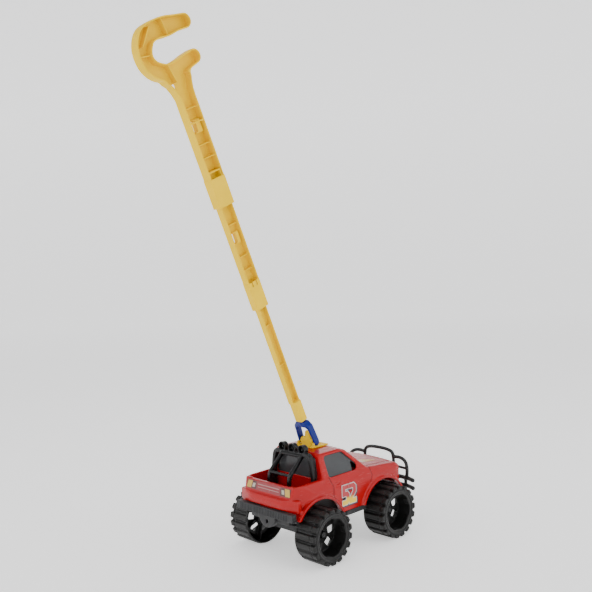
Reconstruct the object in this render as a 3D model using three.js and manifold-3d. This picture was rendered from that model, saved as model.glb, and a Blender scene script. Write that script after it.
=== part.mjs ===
// Push-along pickup truck on a stick: a moulded truck with a hinged three-section pole and C grip.
// Millimetres. X runs forward, Y to the truck's left, Z up. While the truck is put together its
// zero is on the ground midway between the axles; the last line moves it under the whole toy.
import * as THREE from 'three';
import { mergeVertices } from 'three/addons/utils/BufferGeometryUtils.js';
import Module from 'manifold-3d';

const wasm = await Module();
wasm.setup();

// ---------------------------------------------------------------- driving dimensions
const gap = 0.3; // clearance between pieces that meet
const wall = 2; // wall of the body moulding

const wheelbase = 129.4;
const wheelRadius = 35; // to the flat tops of the lugs
const wheelWidth = 34.8;
const wheelOverhang = 26.1; // wheel face beyond the body side
const axleRadius = 2;
const hubRadius = 9.5;

const bodyWidth = 107; // across the doors
const frontOverhang = 46.3; // axle to nose
const rearOverhang = 36.3; // axle to tailgate foot
const archClearance = 7.5; // wheel to arch lip
const archLip = 3.5; // width of the lip round each arch
const lipProud = 3.5; // lip beyond the body side
const shoulderRise = 6; // arch lip to shoulder crease
const bedRailRise = 11; // shoulder crease to bed rail
const cabRise = 44; // shoulder crease to roof
const cabTumble = 12; // how far each cab side leans in by the roof
const railInset = 4.5; // shoulder crease to bed rail, sideways
const sillDrop = 15.5; // axle up to the body's lower edge between the wheels
const endRise = 23.5; // axle up to the body's lower edge at nose and tail
const cabRearX = -48;
const roofFrontX = -4;
const screenBaseX = 38;

const poleLean = 22.3; // degrees back from upright
const pivotX = -23;
const pivotRise = 7; // pivot above the roof
const grooveWall = 1.8; // walls and floors of the pole channels
const poleSide = 1.8; // channels lie this far to the left of the hinge's middle
const lowerPole = { width: 13.5, depth: 8.5, from: 60, to: 232 };
const middlePole = { width: 19.5, depth: 10.5, from: 198.5, to: 381 };
const upperPole = { width: 23, depth: 13, from: 336 };
const lowSleeveTop = 236;
const highSleeveTop = 372.5;

// ---------------------------------------------------------------- sizes that follow
const axleZ = wheelRadius;
const half = bodyWidth / 2;
const frontAxleX = wheelbase / 2;
const rearAxleX = -wheelbase / 2;
const noseX = frontAxleX + frontOverhang;
const tailX = rearAxleX - rearOverhang;
const wheelOuterY = half + wheelOverhang;
const wheelInnerY = wheelOuterY - wheelWidth;
const archRadius = wheelRadius + archClearance;
const lipRadius = archRadius + archLip;
const sillZ = axleZ + sillDrop;
const endZ = axleZ + endRise;
const shoulderZ = axleZ + lipRadius + shoulderRise;
const railZ = shoulderZ + bedRailRise;
const roofZ = shoulderZ + cabRise;
const bedFloorZ = axleZ + wheelRadius + 5;
const bedHalf = half - 9.5;
const bedRearX = tailX + 8.5;
const pivotZ = roofZ + pivotRise;

// ---------------------------------------------------------------- finishes
const paint = (colour, roughness, metalness = 0) =>
  new THREE.MeshStandardMaterial({ color: colour, roughness, metalness });
const finishes = {
  red: () => paint(0xc4161c, 0.32),
  black: () => paint(0x1c1c1c, 0.5),
  tyre: () => paint(0x2b2927, 0.55),
  grey: () => paint(0x4b4c4c, 0.5),
  glass: () => paint(0x5f6364, 0.4),
  yellow: () => paint(0xf2c200, 0.35),
  blue: () => paint(0x1f46a8, 0.35),
  steel: () => paint(0xb5b8bb, 0.3, 1),
  sticker: () => paint(0xe7dcc8, 0.45),
};

// ---------------------------------------------------------------- shaping helpers
function solid(geometry) {
  geometry.deleteAttribute('normal');
  geometry.deleteAttribute('uv');
  const merged = mergeVertices(geometry, 1e-4);
  return new wasm.Manifold(new wasm.Mesh({
    numProp: 3,
    vertProperties: new Float32Array(merged.attributes.position.array),
    triVerts: new Uint32Array(merged.index.array),
  }));
}

function geometryOf(manifold) {
  const { vertProperties, triVerts } = manifold.getMesh();
  const geometry = new THREE.BufferGeometry();
  geometry.setAttribute('position', new THREE.BufferAttribute(new Float32Array(vertProperties), 3));
  geometry.setIndex(new THREE.BufferAttribute(new Uint32Array(triVerts), 1));
  geometry.computeVertexNormals();
  return geometry;
}

const join = (first, ...rest) => rest.reduce((sum, next) => sum.add(next), first);
const cut = (first, ...rest) => rest.reduce((sum, next) => sum.subtract(next), first);
const meet = (first, ...rest) => rest.reduce((sum, next) => sum.intersect(next), first);

// Outlines are lists of [a, b]. Each prism runs the outline along one axis between two stations.
const outline = (points) => new THREE.Shape(points.map(([a, b]) => new THREE.Vector2(a, b)));
const extrude = (shape, depth) =>
  new THREE.ExtrudeGeometry(shape, { depth, bevelEnabled: false, curveSegments: 8 });

function alongZ(points, from, to) {
  return solid(extrude(outline(points), to - from).translate(0, 0, from));
}
function alongY(points, from, to) {
  return solid(extrude(outline(points), to - from).rotateX(Math.PI / 2).translate(0, to, 0));
}
function alongX(points, from, to) {
  const turn = new THREE.Matrix4().makeBasis(
    new THREE.Vector3(0, 1, 0), new THREE.Vector3(0, 0, 1), new THREE.Vector3(1, 0, 0));
  return solid(extrude(outline(points), to - from).applyMatrix4(turn).translate(from, 0, 0));
}
function box(x0, x1, y0, y1, z0, z1) {
  return solid(new THREE.BoxGeometry(x1 - x0, y1 - y0, z1 - z0)
    .translate((x0 + x1) / 2, (y0 + y1) / 2, (z0 + z1) / 2));
}
function circle(a, b, radius, sides, first = 0, sweep = 2 * Math.PI) {
  const count = sweep < 2 * Math.PI ? sides + 1 : sides;
  return Array.from({ length: count }, (_, i) => {
    const angle = first + (sweep * i) / sides;
    return [a + radius * Math.cos(angle), b + radius * Math.sin(angle)];
  });
}
const mirrored = (side) => [...side, ...side.map(([a, b]) => [-a, b]).reverse()];

// Moves every edge of a closed outline inwards by the same distance.
function inset(points, distance) {
  const turn = points.reduce((sum, [a, b], i) => {
    const [c, d] = points[(i + 1) % points.length];
    return sum + a * d - c * b;
  }, 0) > 0 ? 1 : -1;
  const edges = points.map(([a, b], i) => {
    const [c, d] = points[(i + 1) % points.length];
    const length = Math.hypot(c - a, d - b);
    const normal = [(-(d - b) / length) * turn, ((c - a) / length) * turn];
    return { at: [a + normal[0] * distance, b + normal[1] * distance], along: [c - a, d - b] };
  });
  return edges.map((edge, i) => {
    const before = edges[(i + edges.length - 1) % edges.length];
    const cross = before.along[0] * edge.along[1] - before.along[1] * edge.along[0];
    const away = [edge.at[0] - before.at[0], edge.at[1] - before.at[1]];
    const t = (away[0] * edge.along[1] - away[1] * edge.along[0]) / cross;
    return [before.at[0] + t * before.along[0], before.at[1] + t * before.along[1]];
  });
}

// A band round a centreline: each station is [a, b, half thickness], and both ends are round.
function band(stations, less, steps, capSides = 6) {
  const curve = new THREE.CatmullRomCurve3(
    stations.map(([a, b, h]) => new THREE.Vector3(a, b, h)), false, 'centripetal');
  const left = [];
  const right = [];
  for (let i = 0; i <= steps; i += 1) {
    const at = curve.getPoint(i / steps);
    const along = curve.getTangent(i / steps).setZ(0).normalize();
    const reach = at.z - less;
    left.push([at.x - along.y * reach, at.y + along.x * reach]);
    right.push([at.x + along.y * reach, at.y - along.x * reach]);
  }
  const cap = (at, along, reach) => {
    const start = Math.atan2(along.y, along.x) + Math.PI / 2;
    return circle(at.x, at.y, reach, capSides, start, -Math.PI).slice(1, -1);
  };
  const first = curve.getPoint(0);
  const last = curve.getPoint(1);
  const headCap = cap(last, curve.getTangent(1), last.z - less);
  const tailCap = cap(first, curve.getTangent(0).negate(), first.z - less);
  return [...left, ...headCap, ...right.reverse(), ...tailCap];
}

function rod(from, to, radius, sides = 6) {
  const start = new THREE.Vector3(...from);
  const run = new THREE.Vector3(...to).sub(start);
  const geometry = new THREE.CylinderGeometry(radius, radius, run.length(), sides);
  geometry.applyQuaternion(new THREE.Quaternion().setFromUnitVectors(
    new THREE.Vector3(0, 1, 0), run.clone().normalize()));
  return solid(geometry.translate(...start.addScaledVector(run, 0.5).toArray()));
}
function tube(points, radius, steps, sides = 6) {
  const path = new THREE.CatmullRomCurve3(points.map((p) => new THREE.Vector3(...p)));
  const section = outline(circle(0, 0, radius, sides));
  return solid(new THREE.ExtrudeGeometry(section, { extrudePath: path, steps, bevelEnabled: false }));
}
function turned(profile, sides) {
  const closed = profile.map(([r, z]) => new THREE.Vector2(r, z));
  if (THREE.ShapeUtils.area(closed) < 0) closed.reverse();
  closed.push(closed[0].clone());
  return solid(new THREE.LatheGeometry(closed, sides).rotateX(Math.PI / 2));
}

const toy = new THREE.Group();
function place(name, shape, finish, parent = toy) {
  const mesh = new THREE.Mesh(geometryOf(shape), finishes[finish]());
  mesh.name = name;
  parent.add(mesh);
  return mesh;
}

// ---------------------------------------------------------------- body moulding
// One red shell, open below: bonnet, cab and load bed, with a raised lip round each arch.
const ledgeTopZ = shoulderZ - 4;
const noseTopX = noseX - 13;
const cabFootZ = shoulderZ + 3;

function sideOutline(drop) {
  return [
    [tailX, endZ - drop], [tailX, ledgeTopZ - 14.5], [tailX - 4, ledgeTopZ - 13],
    [tailX - 4.5, ledgeTopZ - 4], [tailX - 2.5, ledgeTopZ], [tailX, ledgeTopZ + 0.3],
    [tailX + 4, railZ + 1], [cabRearX, railZ], [screenBaseX, railZ + 0.5],
    [noseTopX - 2, railZ - 3], [noseTopX + 2, railZ - 7], [noseTopX + 7, railZ - 20],
    [noseX, endZ + 4], [noseX, endZ - drop], [frontAxleX + 20, endZ - drop],
    [frontAxleX - 20, sillZ - drop], [rearAxleX + 20, sillZ - drop], [rearAxleX - 20, endZ - drop],
  ];
}
const sectionOutline = mirrored([
  [half, axleZ], [half, shoulderZ], [half - railInset, railZ - 1.5], [half - railInset - 2, railZ],
  [half - 20, railZ + 2],
]);
const planOutline = mirrored([
  [half - 6, tailX - 6], [half - 1.5, tailX - 1], [half, tailX + 6], [half, noseX - 22],
  [half - 2.5, noseX - 11], [half - 9, noseX - 3], [half - 17, noseX + 1],
]).map(([y, x]) => [x, y]);
const cabSide = [
  [cabRearX, cabFootZ], [cabRearX, roofZ - 3], [cabRearX + 3, roofZ], [roofFrontX, roofZ],
  [roofFrontX + 4, roofZ - 1.7], [screenBaseX, railZ - 0.5], [screenBaseX + 3, cabFootZ],
];
const cabSection = mirrored([
  [half - railInset + 0.5, cabFootZ], [half - railInset, railZ], [half - cabTumble - 1, roofZ - 4],
  [half - cabTumble - 3.5, roofZ - 1.2], [half - cabTumble - 15, roofZ + 0.2],
]);
const lowerBody = (less, drop) => meet(
  alongY(inset(sideOutline(drop), less), -half - 5, half + 5),
  alongX(inset(sectionOutline, less), tailX - 10, noseX + 10),
  alongZ(inset(planOutline, less), 0, roofZ),
);
const cabBody = (less) => meet(
  alongY(inset(cabSide, less), -half, half),
  alongX(inset(cabSection, less), cabRearX - 5, screenBaseX + 10),
);

const bedOpening = box(bedRearX, cabRearX, -bedHalf, bedHalf, bedFloorZ, roofZ);
const bedTub = box(bedRearX - wall, cabRearX + wall, -bedHalf - wall, bedHalf + wall,
  bedFloorZ - wall, roofZ);
const hollow = join(
  cut(lowerBody(wall, 30), bedTub),
  cabBody(wall),
  box(cabRearX + wall, screenBaseX - 6, -half + railInset + wall, half - railInset - wall,
    shoulderZ - 10, cabFootZ + 4),
);

const archFrom = bedHalf + wall + gap;
const archX = [frontAxleX - 1.5, rearAxleX + 4.2];
function arch(x, side) {
  const ring = circle(x, axleZ, lipRadius, 24, 0, Math.PI);
  const lip = alongY(ring, side > 0 ? half - wall : -half - lipProud,
    side > 0 ? half + lipProud : -half + wall);
  return meet(lip, box(x - 60, x + 60, -half - 9, half + 9, x > 0 ? sillZ : endZ, roofZ));
}
const archCut = (x, side) => rod([x, side * archFrom, axleZ], [x, side * (half + 12), axleZ],
  archRadius, 32);
const bothSides = [1, -1];
const lips = archX.flatMap((x) => bothSides.map((side) => arch(x, side)));
const archCuts = archX.flatMap((x) => bothSides.map((side) => archCut(x, side)));

const windowBottomZ = shoulderZ + 12;
const windowTopZ = roofZ - 5;
const sideWindow = [
  [cabRearX + 11, windowBottomZ], [screenBaseX - 13, windowBottomZ + 0.5],
  [roofFrontX - 1, windowTopZ], [cabRearX + 8.5, windowTopZ],
];
const rearWindow = mirrored([[half - 15, windowBottomZ - 2], [half - 19, windowTopZ - 1]]);
const frontWindow = mirrored([[half - 12, windowBottomZ + 1], [half - 17, windowTopZ - 2]]);

const screwX = [frontAxleX + 26, rearAxleX - 22];
const screwY = 21;
const screwShank = 1.5;
const bonnetDrop = 3.5 / (noseTopX - 2 - screenBaseX);
const bonnetZ = (x) => railZ + 0.5 - bonnetDrop * (x - screenBaseX);
const bossHeight = [bonnetZ(screwX[0]) - wall / 2, bedFloorZ - wall / 2];
const corners = screwX.flatMap((x, i) => bothSides.map((side) => ({ x, y: side * screwY, top: bossHeight[i] })));
const bosses = corners.map(({ x, y, top }) => rod([x, y, sillZ], [x, y, top], 4, 10));
const pilotHoles = corners.map(({ x, y }) =>
  rod([x, y, sillZ - 5], [x, y, sillZ + 12], screwShank + gap, 8));
const bracketPegX = [pivotX - 7, pivotX + 8];
const pegRadius = 2.5;
const pegHoles = bracketPegX.map((x) =>
  rod([x, 0, roofZ - 8], [x, 0, roofZ + 4], pegRadius + gap, 10));

// The roll bar's four feet pass through slots in the bed floor.
const hoopX = [cabRearX - 9, cabRearX - gap - 2];
const hoopFootY = [bedHalf - 9, bedHalf - 4];
const legFootX = [hoopX[0] - 25, hoopX[0] - 20];
const legY = 18.5;
const legWidth = 4;
const footBottomZ = bedFloorZ - wall - 0.8;
const footSlot = ([x0, x1], [y0, y1], side) => box(x0 - gap, x1 + gap,
  Math.min(side * y0, side * y1) - gap, Math.max(side * y0, side * y1) + gap,
  footBottomZ - 1, bedFloorZ + 1);
const footSlots = bothSides.flatMap((side) => [
  footSlot(hoopX, hoopFootY, side),
  footSlot(legFootX, [legY - legWidth / 2, legY + legWidth / 2], side),
]);

const shell = cut(
  join(cut(lowerBody(0, 0), bedOpening), cabBody(0), ...lips),
  hollow,
  ...archCuts,
  ...footSlots,
  alongY(sideWindow, -half - 5, -half + 20),
  alongY(sideWindow, half - 20, half + 5),
  alongX(rearWindow, cabRearX - 3, cabRearX + wall + 1),
  alongX(frontWindow, roofFrontX - 3, screenBaseX + 3),
);
place('body_shell', cut(join(shell, ...bosses), ...pilotHoles, ...pegHoles), 'red');

// ---------------------------------------------------------------- cab glazing
// One smoke-grey ring of panes under the cab, with the quarter-light corners left open.
const paneGap = wall + gap;
const paneThickness = 1.5;
const glazingBand = box(cabRearX, screenBaseX + 3, -half, half, windowBottomZ - 6, windowTopZ + 1.5);
const quarterLight = [
  [screenBaseX - 28.5, windowBottomZ - 8], [screenBaseX - 28.5, windowBottomZ + 11],
  [screenBaseX - 26, windowBottomZ + 11], [screenBaseX - 9.5, windowBottomZ - 2.5],
  [screenBaseX - 9.5, windowBottomZ - 8],
];
const glazing = cut(
  meet(cabBody(paneGap), glazingBand),
  meet(cabBody(paneGap + paneThickness), glazingBand),
  alongY(quarterLight, -half, half),
  box(cabRearX, screenBaseX, -half + railInset + 9, half - railInset - 9, windowTopZ + 0.2, roofZ),
  box(cabRearX + 6, screenBaseX - 16, -half + 13, half - 13, windowBottomZ - 8, windowBottomZ + 2),
);
place('cab_glazing', glazing, 'glass');

// ---------------------------------------------------------------- chassis
// Dark pan under the body: sills, axle blocks with bearing noses, a flat belly pad and a half-round
// tow plate at the tail.
const panHalf = wheelInnerY - 9;
const panTop = sillZ - gap;
const panBottom = panTop - 4.5;
const bellyZ = panBottom - 2;
const hubInnerY = wheelInnerY + 6;
const hubOuterY = wheelInnerY + 15.5;
const bearingRadius = 5;
const towRadius = 16;
const panSide = [
  [tailX + wall + gap, endZ - gap], [tailX + wall + gap, panBottom + 4], [tailX + 12, panBottom],
  [noseX - 15, panBottom], [noseX - wall - gap, panBottom + 4], [noseX - wall - gap, endZ - gap],
  [noseX - wall - 8, endZ - gap], [noseX - wall - 8, panTop], [tailX + wall + 8, panTop],
  [tailX + wall + 8, endZ - gap],
];
const axleBlock = (x) => alongY([
  [x - 8, panBottom + 1], [x - 6.5, axleZ - 5.5], [x + 6.5, axleZ - 5.5], [x + 8, panBottom + 1],
], -panHalf, panHalf);
const sillX = [rearAxleX + lipRadius + 5, frontAxleX - lipRadius + 9];
const chassis = cut(
  join(
    alongY(panSide, -panHalf, panHalf),
    box(...sillX, -half, half, bellyZ, panTop),
    box(tailX + wall + gap, tailX + 7, -half + 4, half - 4, endZ - 4, endZ - gap),
    box(-28, 28, -24, 24, bellyZ, panBottom + 1),
    alongX(circle(0, endZ - 1, towRadius, 16, Math.PI, Math.PI), tailX - 3, tailX + 3.5),
    ...[frontAxleX, rearAxleX].flatMap((x) => [
      axleBlock(x),
      rod([x, -hubInnerY + gap, axleZ], [x, hubInnerY - gap, axleZ], bearingRadius, 12),
    ]),
  ),
  ...[frontAxleX, rearAxleX].map((x) =>
    rod([x, -half, axleZ], [x, half, axleZ], axleRadius + gap, 12)),
  ...corners.flatMap(({ x, y }) => [
    rod([x, y, panBottom - 1], [x, y, panTop + 1], screwShank + gap, 8),
    rod([x, y, panBottom - 1], [x, y, panBottom + 2.2], 3.8, 10),
  ]),
);
place('chassis', chassis, 'grey');

corners.forEach(({ x, y }, i) => {
  const head = panBottom + 0.2;
  const screw = turned([
    [0, head], [3.3, head], [3.3, head + 1.7], [screwShank, head + 1.7], [screwShank, sillZ + 8],
    [0, sillZ + 9.5],
  ], 10).translate([x, y, 0]);
  place(`screw_${i < 2 ? 'front' : 'rear'}_${y > 0 ? 'left' : 'right'}`, screw, 'steel');
});

// ---------------------------------------------------------------- rear bumper
// Grey beam under the tail ledge. Its face carries fine upright ribs between two plain end blocks.
const bumperHalf = half - 0.7;
const bumperFaceX = tailX - 8;
const ribPitch = 3;
const ribCount = 30;
const bumperTopZ = ledgeTopZ - 14.5 - gap;
const bumperOutline = [[tailX - gap, -bumperHalf], [tailX - gap, bumperHalf],
  [bumperFaceX, bumperHalf]];
for (let i = 0; i < ribCount; i += 1) {
  const y = (ribCount / 2 - i) * ribPitch;
  bumperOutline.push([bumperFaceX, y], [bumperFaceX + 0.8, y - 0.4],
    [bumperFaceX + 0.8, y - 1.2], [bumperFaceX, y - 1.6]);
}
bumperOutline.push([bumperFaceX, -bumperHalf]);
const bumperBottomZ = endZ - gap;
const tow = alongX(circle(0, endZ - 1, towRadius + gap, 16, 0, 2 * Math.PI), tailX - 4, tailX + 1);
place('rear_bumper', cut(alongZ(bumperOutline, bumperBottomZ, bumperTopZ), tow), 'grey');

// ---------------------------------------------------------------- bull bar
// Bar work ahead of the nose: a bowed top rail, lamp hoops, two long lower bars and short uprights.
const barRadius = 2.4;
const rungRadius = 1.8;
const barX = noseX + 10;
const barHalf = wheelOuterY - 10;
const postY = 27;
const lowBarZ = [endZ - 4.5, endZ + 7];
const railTopZ = railZ + 3.5;
const lampBarZ = endZ + 21;
const lampReach = 27;
const longBar = (z) => tube([[barX - 7, -barHalf, z], [barX - 2, -barHalf + 15, z], [barX, 0, z],
  [barX - 2, barHalf - 15, z], [barX - 7, barHalf, z]], barRadius, 8);
const lampHoop = (side) => tube([
  [barX - 1, side * postY, railZ - 6], [barX - 2, side * (postY + 15), railZ - 5.5],
  [barX - 4, side * (postY + lampReach - 2), railZ - 11],
  [barX - 4.5, side * (postY + lampReach), lampBarZ],
  [barX - 4, side * (postY + lampReach - 2), lowBarZ[1]],
], barRadius, 9);
const bullBar = join(
  ...lowBarZ.map(longBar),
  tube([[barX - 1, -postY, railZ - 4], [barX, -postY + 4, railZ + 1], [barX, 0, railTopZ],
    [barX, postY - 4, railZ + 1], [barX - 1, postY, railZ - 4]], barRadius, 8),
  ...bothSides.flatMap((side) => [
    rod([barX - 1, side * postY, lowBarZ[0]], [barX - 1, side * postY, railZ - 3], barRadius),
    rod([barX - 2, side * (postY + 22), lowBarZ[0]], [barX - 2, side * (postY + 22), lowBarZ[1]],
      barRadius),
    rod([barX - 1, side * postY, lampBarZ], [barX - 4.5, side * (postY + lampReach), lampBarZ],
      rungRadius),
    rod([noseX + gap, side * postY, endZ + 1], [barX - 1, side * postY, endZ + 1], barRadius),
    lampHoop(side),
  ]),
);
place('bull_bar', bullBar, 'grey');

// ---------------------------------------------------------------- roll bar
// Black bar in the bed: a deep hoop behind the cab, two raked legs, two cross bars, three lamp cans.
const hoopTopZ = roofZ - 1.5;
const hoopKneeZ = railZ + 6;
const hoopOuter = [[hoopFootY[1], footBottomZ], [hoopFootY[1], bedFloorZ + 1],
  [bedHalf - 5, hoopKneeZ], [bedHalf - 9.5, hoopTopZ - 5], [bedHalf - 14, hoopTopZ]];
const hoopInner = [[hoopFootY[0], footBottomZ], [hoopFootY[0], bedFloorZ + 1],
  [bedHalf - 10, hoopKneeZ], [bedHalf - 14, hoopTopZ - 7], [bedHalf - 17, hoopTopZ - 5]];
const hoop = alongX([...hoopOuter, ...hoopOuter.map(([y, z]) => [-y, z]).reverse(),
  ...hoopInner.map(([y, z]) => [-y, z]), ...[...hoopInner].reverse()], ...hoopX);
const legTop = [hoopX[0] + 2, hoopTopZ - 3];
const legKnee = [hoopX[0] - 21, railZ + 7];
const legSide = [
  [legTop[0] - 3, legTop[1] + 1], [legKnee[0] - 2.5, legKnee[1] + 1],
  [legFootX[0] - 0.5, legKnee[1] - 9], [legFootX[0], bedFloorZ + 1], [legFootX[0], footBottomZ],
  [legFootX[1], footBottomZ], [legFootX[1], bedFloorZ + 1], [legFootX[1] - 0.5, legKnee[1] - 9],
  [legKnee[0] + 2.5, legKnee[1] - 2.5], [legTop[0] + 2, legTop[1] - 3.5], [legTop[0] + 3, legTop[1] + 1],
];
const canRadius = 6.4;
const canX = [hoopX[0] + 1, cabRearX - gap];
const canPitch = 18.4;
const canZ = hoopTopZ + canRadius - 1.8;
function lampCan(y) {
  const can = rod([canX[0], y, canZ], [canX[1], y, canZ], canRadius, 16);
  return cut(can, rod([canX[0] - 1, y, canZ], [canX[0] + 3, y, canZ], canRadius - 1.5, 16));
}
const rollBar = join(
  hoop,
  ...bothSides.map((side) =>
    alongY(legSide, side * legY - legWidth / 2, side * legY + legWidth / 2)),
  rod([legTop[0] - 2, -legY, legTop[1]], [legTop[0] - 2, legY, legTop[1]], 2.2),
  rod([legKnee[0], -legY, legKnee[1]], [legKnee[0], legY, legKnee[1]], 1.9),
  ...[-canPitch, 0, canPitch].map(lampCan),
);
place('roll_bar', rollBar, 'black');

// ---------------------------------------------------------------- axles, wheels and caps
// Steel axles stay still in the pan. Each wheel turns on its end, kept on by a push-on cap.
const lugCount = 18;
const capBore = axleRadius + gap;
const capFace = hubOuterY + 4.2;
for (const [end, x] of [['front', frontAxleX], ['rear', rearAxleX]]) {
  const reach = capFace - 1.5;
  place(`${end}_axle`, rod([x, -reach, axleZ], [x, reach, axleZ], axleRadius, 12), 'steel');
}

// Lug outline: flat-topped teeth on a round floor, one tooth straight down.
function lugRing(floorRadius, tipRadius, tipHalf, footHalf, from, to) {
  const points = [];
  for (let i = 0; i < lugCount; i += 1) {
    const middle = Math.PI / 2 + (2 * Math.PI * i) / lugCount;
    for (const [radius, angle] of [[floorRadius, -footHalf], [tipRadius, -tipHalf],
      [tipRadius, tipHalf], [floorRadius, footHalf]]) {
      const turn = middle + THREE.MathUtils.degToRad(angle);
      points.push([radius * Math.cos(turn), radius * Math.sin(turn)]);
    }
  }
  return alongZ(points, from, to);
}
const tipHalf = 5.5; // degrees
const knobRadius = wheelRadius / Math.cos(THREE.MathUtils.degToRad(tipHalf));
const grooveDepth = 2.6;
const bowlRadius = wheelRadius - 2.4; // open inner face; the bowl narrows towards the web
const bowlTaper = 2;
const dishRadius = wheelRadius - 11;
const dishTaper = 1.5;
const webThickness = 2;
const webFrom = wheelWidth - 20 - webThickness;
const facePlate = 3;
const spokeCount = 6;
const spokeTurn = 12; // degrees from the lugs to the first web window
const lightLength = 11;
const lightHalf = 4.5;
function wheelSolid() {
  const plateInner = wheelWidth - facePlate;
  const outside = join(
    lugRing(wheelRadius - grooveDepth, knobRadius, tipHalf, 7.5, 3, wheelWidth - 8),
    lugRing(wheelRadius - 4, knobRadius, tipHalf, 7.5, wheelWidth - 8, wheelWidth),
    alongZ(circle(0, 0, wheelRadius - 0.6, 2 * lugCount), 0, 3),
  );
  const bowl = bowlRadius - bowlTaper;
  const inside = turned([
    [bowlRadius, -1], [bowlRadius, 0.5], [bowl, 5], [bowl, plateInner - 6],
    [bowl - 1.5, plateInner], [dishRadius + 1.8, plateInner], [dishRadius + 0.6, webFrom],
    [hubRadius, webFrom], [hubRadius, hubInnerY - wheelInnerY], [0, hubInnerY - wheelInnerY], [0, -1],
  ], lugCount);
  const dish = turned([
    [0, hubOuterY - wheelInnerY], [hubRadius, hubOuterY - wheelInnerY],
    [hubRadius, webFrom + webThickness], [dishRadius - dishTaper, webFrom + webThickness],
    [dishRadius, wheelWidth + 1], [0, wheelWidth + 1],
  ], lugCount);
  const boreHole = alongZ(circle(0, 0, axleRadius + gap, 12), -2, wheelWidth + 2);
  const turnOf = (i) => [0, 0, spokeTurn + (360 / spokeCount) * i];
  const lights = Array.from({ length: spokeCount }, (_, i) =>
    box(hubRadius + 1, hubRadius + 1 + lightLength, -lightHalf, lightHalf, webFrom - 1,
      webFrom + webThickness + 1).rotate(turnOf(i)));
  const ribs = Array.from({ length: spokeCount }, (_, i) =>
    box(hubRadius - 1, bowl + 0.5, -0.7, 0.7, 6, webFrom + 0.5).rotate(turnOf(i + 0.5)));
  return cut(join(cut(outside, inside, dish), ...ribs), boreHole, ...lights);
}
const wheelShape = geometryOf(wheelSolid());
const capShape = geometryOf(turned([
  [0, 4.2], [4, 4.2], [5.2, 3], [5.2, gap], [capBore, gap], [capBore, 2.9], [0, 2.9],
], 12));
const frontTurn = THREE.MathUtils.degToRad(12); // the front wheels have rolled a little further
for (const [end, x, rolled] of [['front', frontAxleX, frontTurn], ['rear', rearAxleX, 0]]) {
  for (const [name, side] of [['left', 1], ['right', -1]]) {
    const wheel = new THREE.Mesh(wheelShape, finishes.tyre());
    wheel.name = `wheel_${end}_${name}`;
    wheel.rotation.set((-side * Math.PI) / 2, 0, -side * rolled);
    wheel.position.set(x, side * wheelInnerY, axleZ);
    const cap = new THREE.Mesh(capShape, finishes.black());
    cap.name = `axle_cap_${end}_${name}`;
    cap.rotation.x = (-side * Math.PI) / 2;
    cap.position.set(x, side * hubOuterY, axleZ);
    toy.add(wheel, cap);
  }
}

// ---------------------------------------------------------------- roof bracket
// Yellow foot pegged through the roof: a rounded eye plate, a rear block and two heel stops that
// the clevis leans back on.
const eyeHalf = 4.5;
const armInner = 12.3;
const armThickness = 3;
const armWidth = 9;
const studRadius = 2.8;
const footTop = roofZ + gap + 1.8;
const lean = THREE.MathUtils.degToRad(poleLean);
const heelX = pivotX - (armWidth / 2 + gap) / Math.cos(lean) - (1.5) * Math.tan(lean);
const blockHalf = 8;
const blockTopZ = pivotZ + 5.5;
const finTopZ = pivotZ + 14;
const heelTopZ = pivotZ + 1;
const heelHalf = armInner + armThickness;
const bracket = cut(
  join(
    box(pivotX - 7, pivotX + 20, -17, 17, roofZ + gap, footTop),
    box(pivotX - 13, pivotX - 6, -heelHalf, heelHalf, roofZ + gap, footTop),
    alongY([
      [pivotX - 6.5, footTop - 1], [pivotX - 5.5, blockTopZ], [pivotX + 5.5, blockTopZ],
      [pivotX + 7.5, footTop - 1],
    ], -blockHalf, blockHalf),
    alongY([
      [pivotX - 5, blockTopZ - 1], [pivotX - 3, finTopZ - 1.5], [pivotX - 1.5, finTopZ],
      [pivotX + 1.5, finTopZ], [pivotX + 3, finTopZ - 1.5], [pivotX + 5, blockTopZ - 1],
    ], -eyeHalf, eyeHalf),
    rod([pivotX, -armInner + 1, pivotZ], [pivotX, armInner - 1, pivotZ], 5.5, 14),
    ...bothSides.map((side) => alongY([
      [heelX - 5, footTop - 1], [heelX - 3, heelTopZ], [heelX - 0.4, heelTopZ],
      [heelX + (heelTopZ - footTop + 1) * Math.tan(lean) - 0.4, footTop - 1],
    ], side > 0 ? armInner : -heelHalf, side > 0 ? heelHalf : -armInner)),
    ...bracketPegX.map((x) => rod([x, 0, roofZ - 5], [x, 0, footTop - 1], pegRadius, 10)),
  ),
  rod([pivotX, -20, pivotZ], [pivotX, 20, pivotZ], studRadius + gap, 12),
);
place('roof_bracket', bracket, 'yellow');

// ---------------------------------------------------------------- pole
// Everything on the pole is built upright over the pivot, then leant back as one group.
const pole = new THREE.Group();
pole.position.set(pivotX, 0, pivotZ);
pole.rotation.y = -lean;
toy.add(pole);

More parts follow.
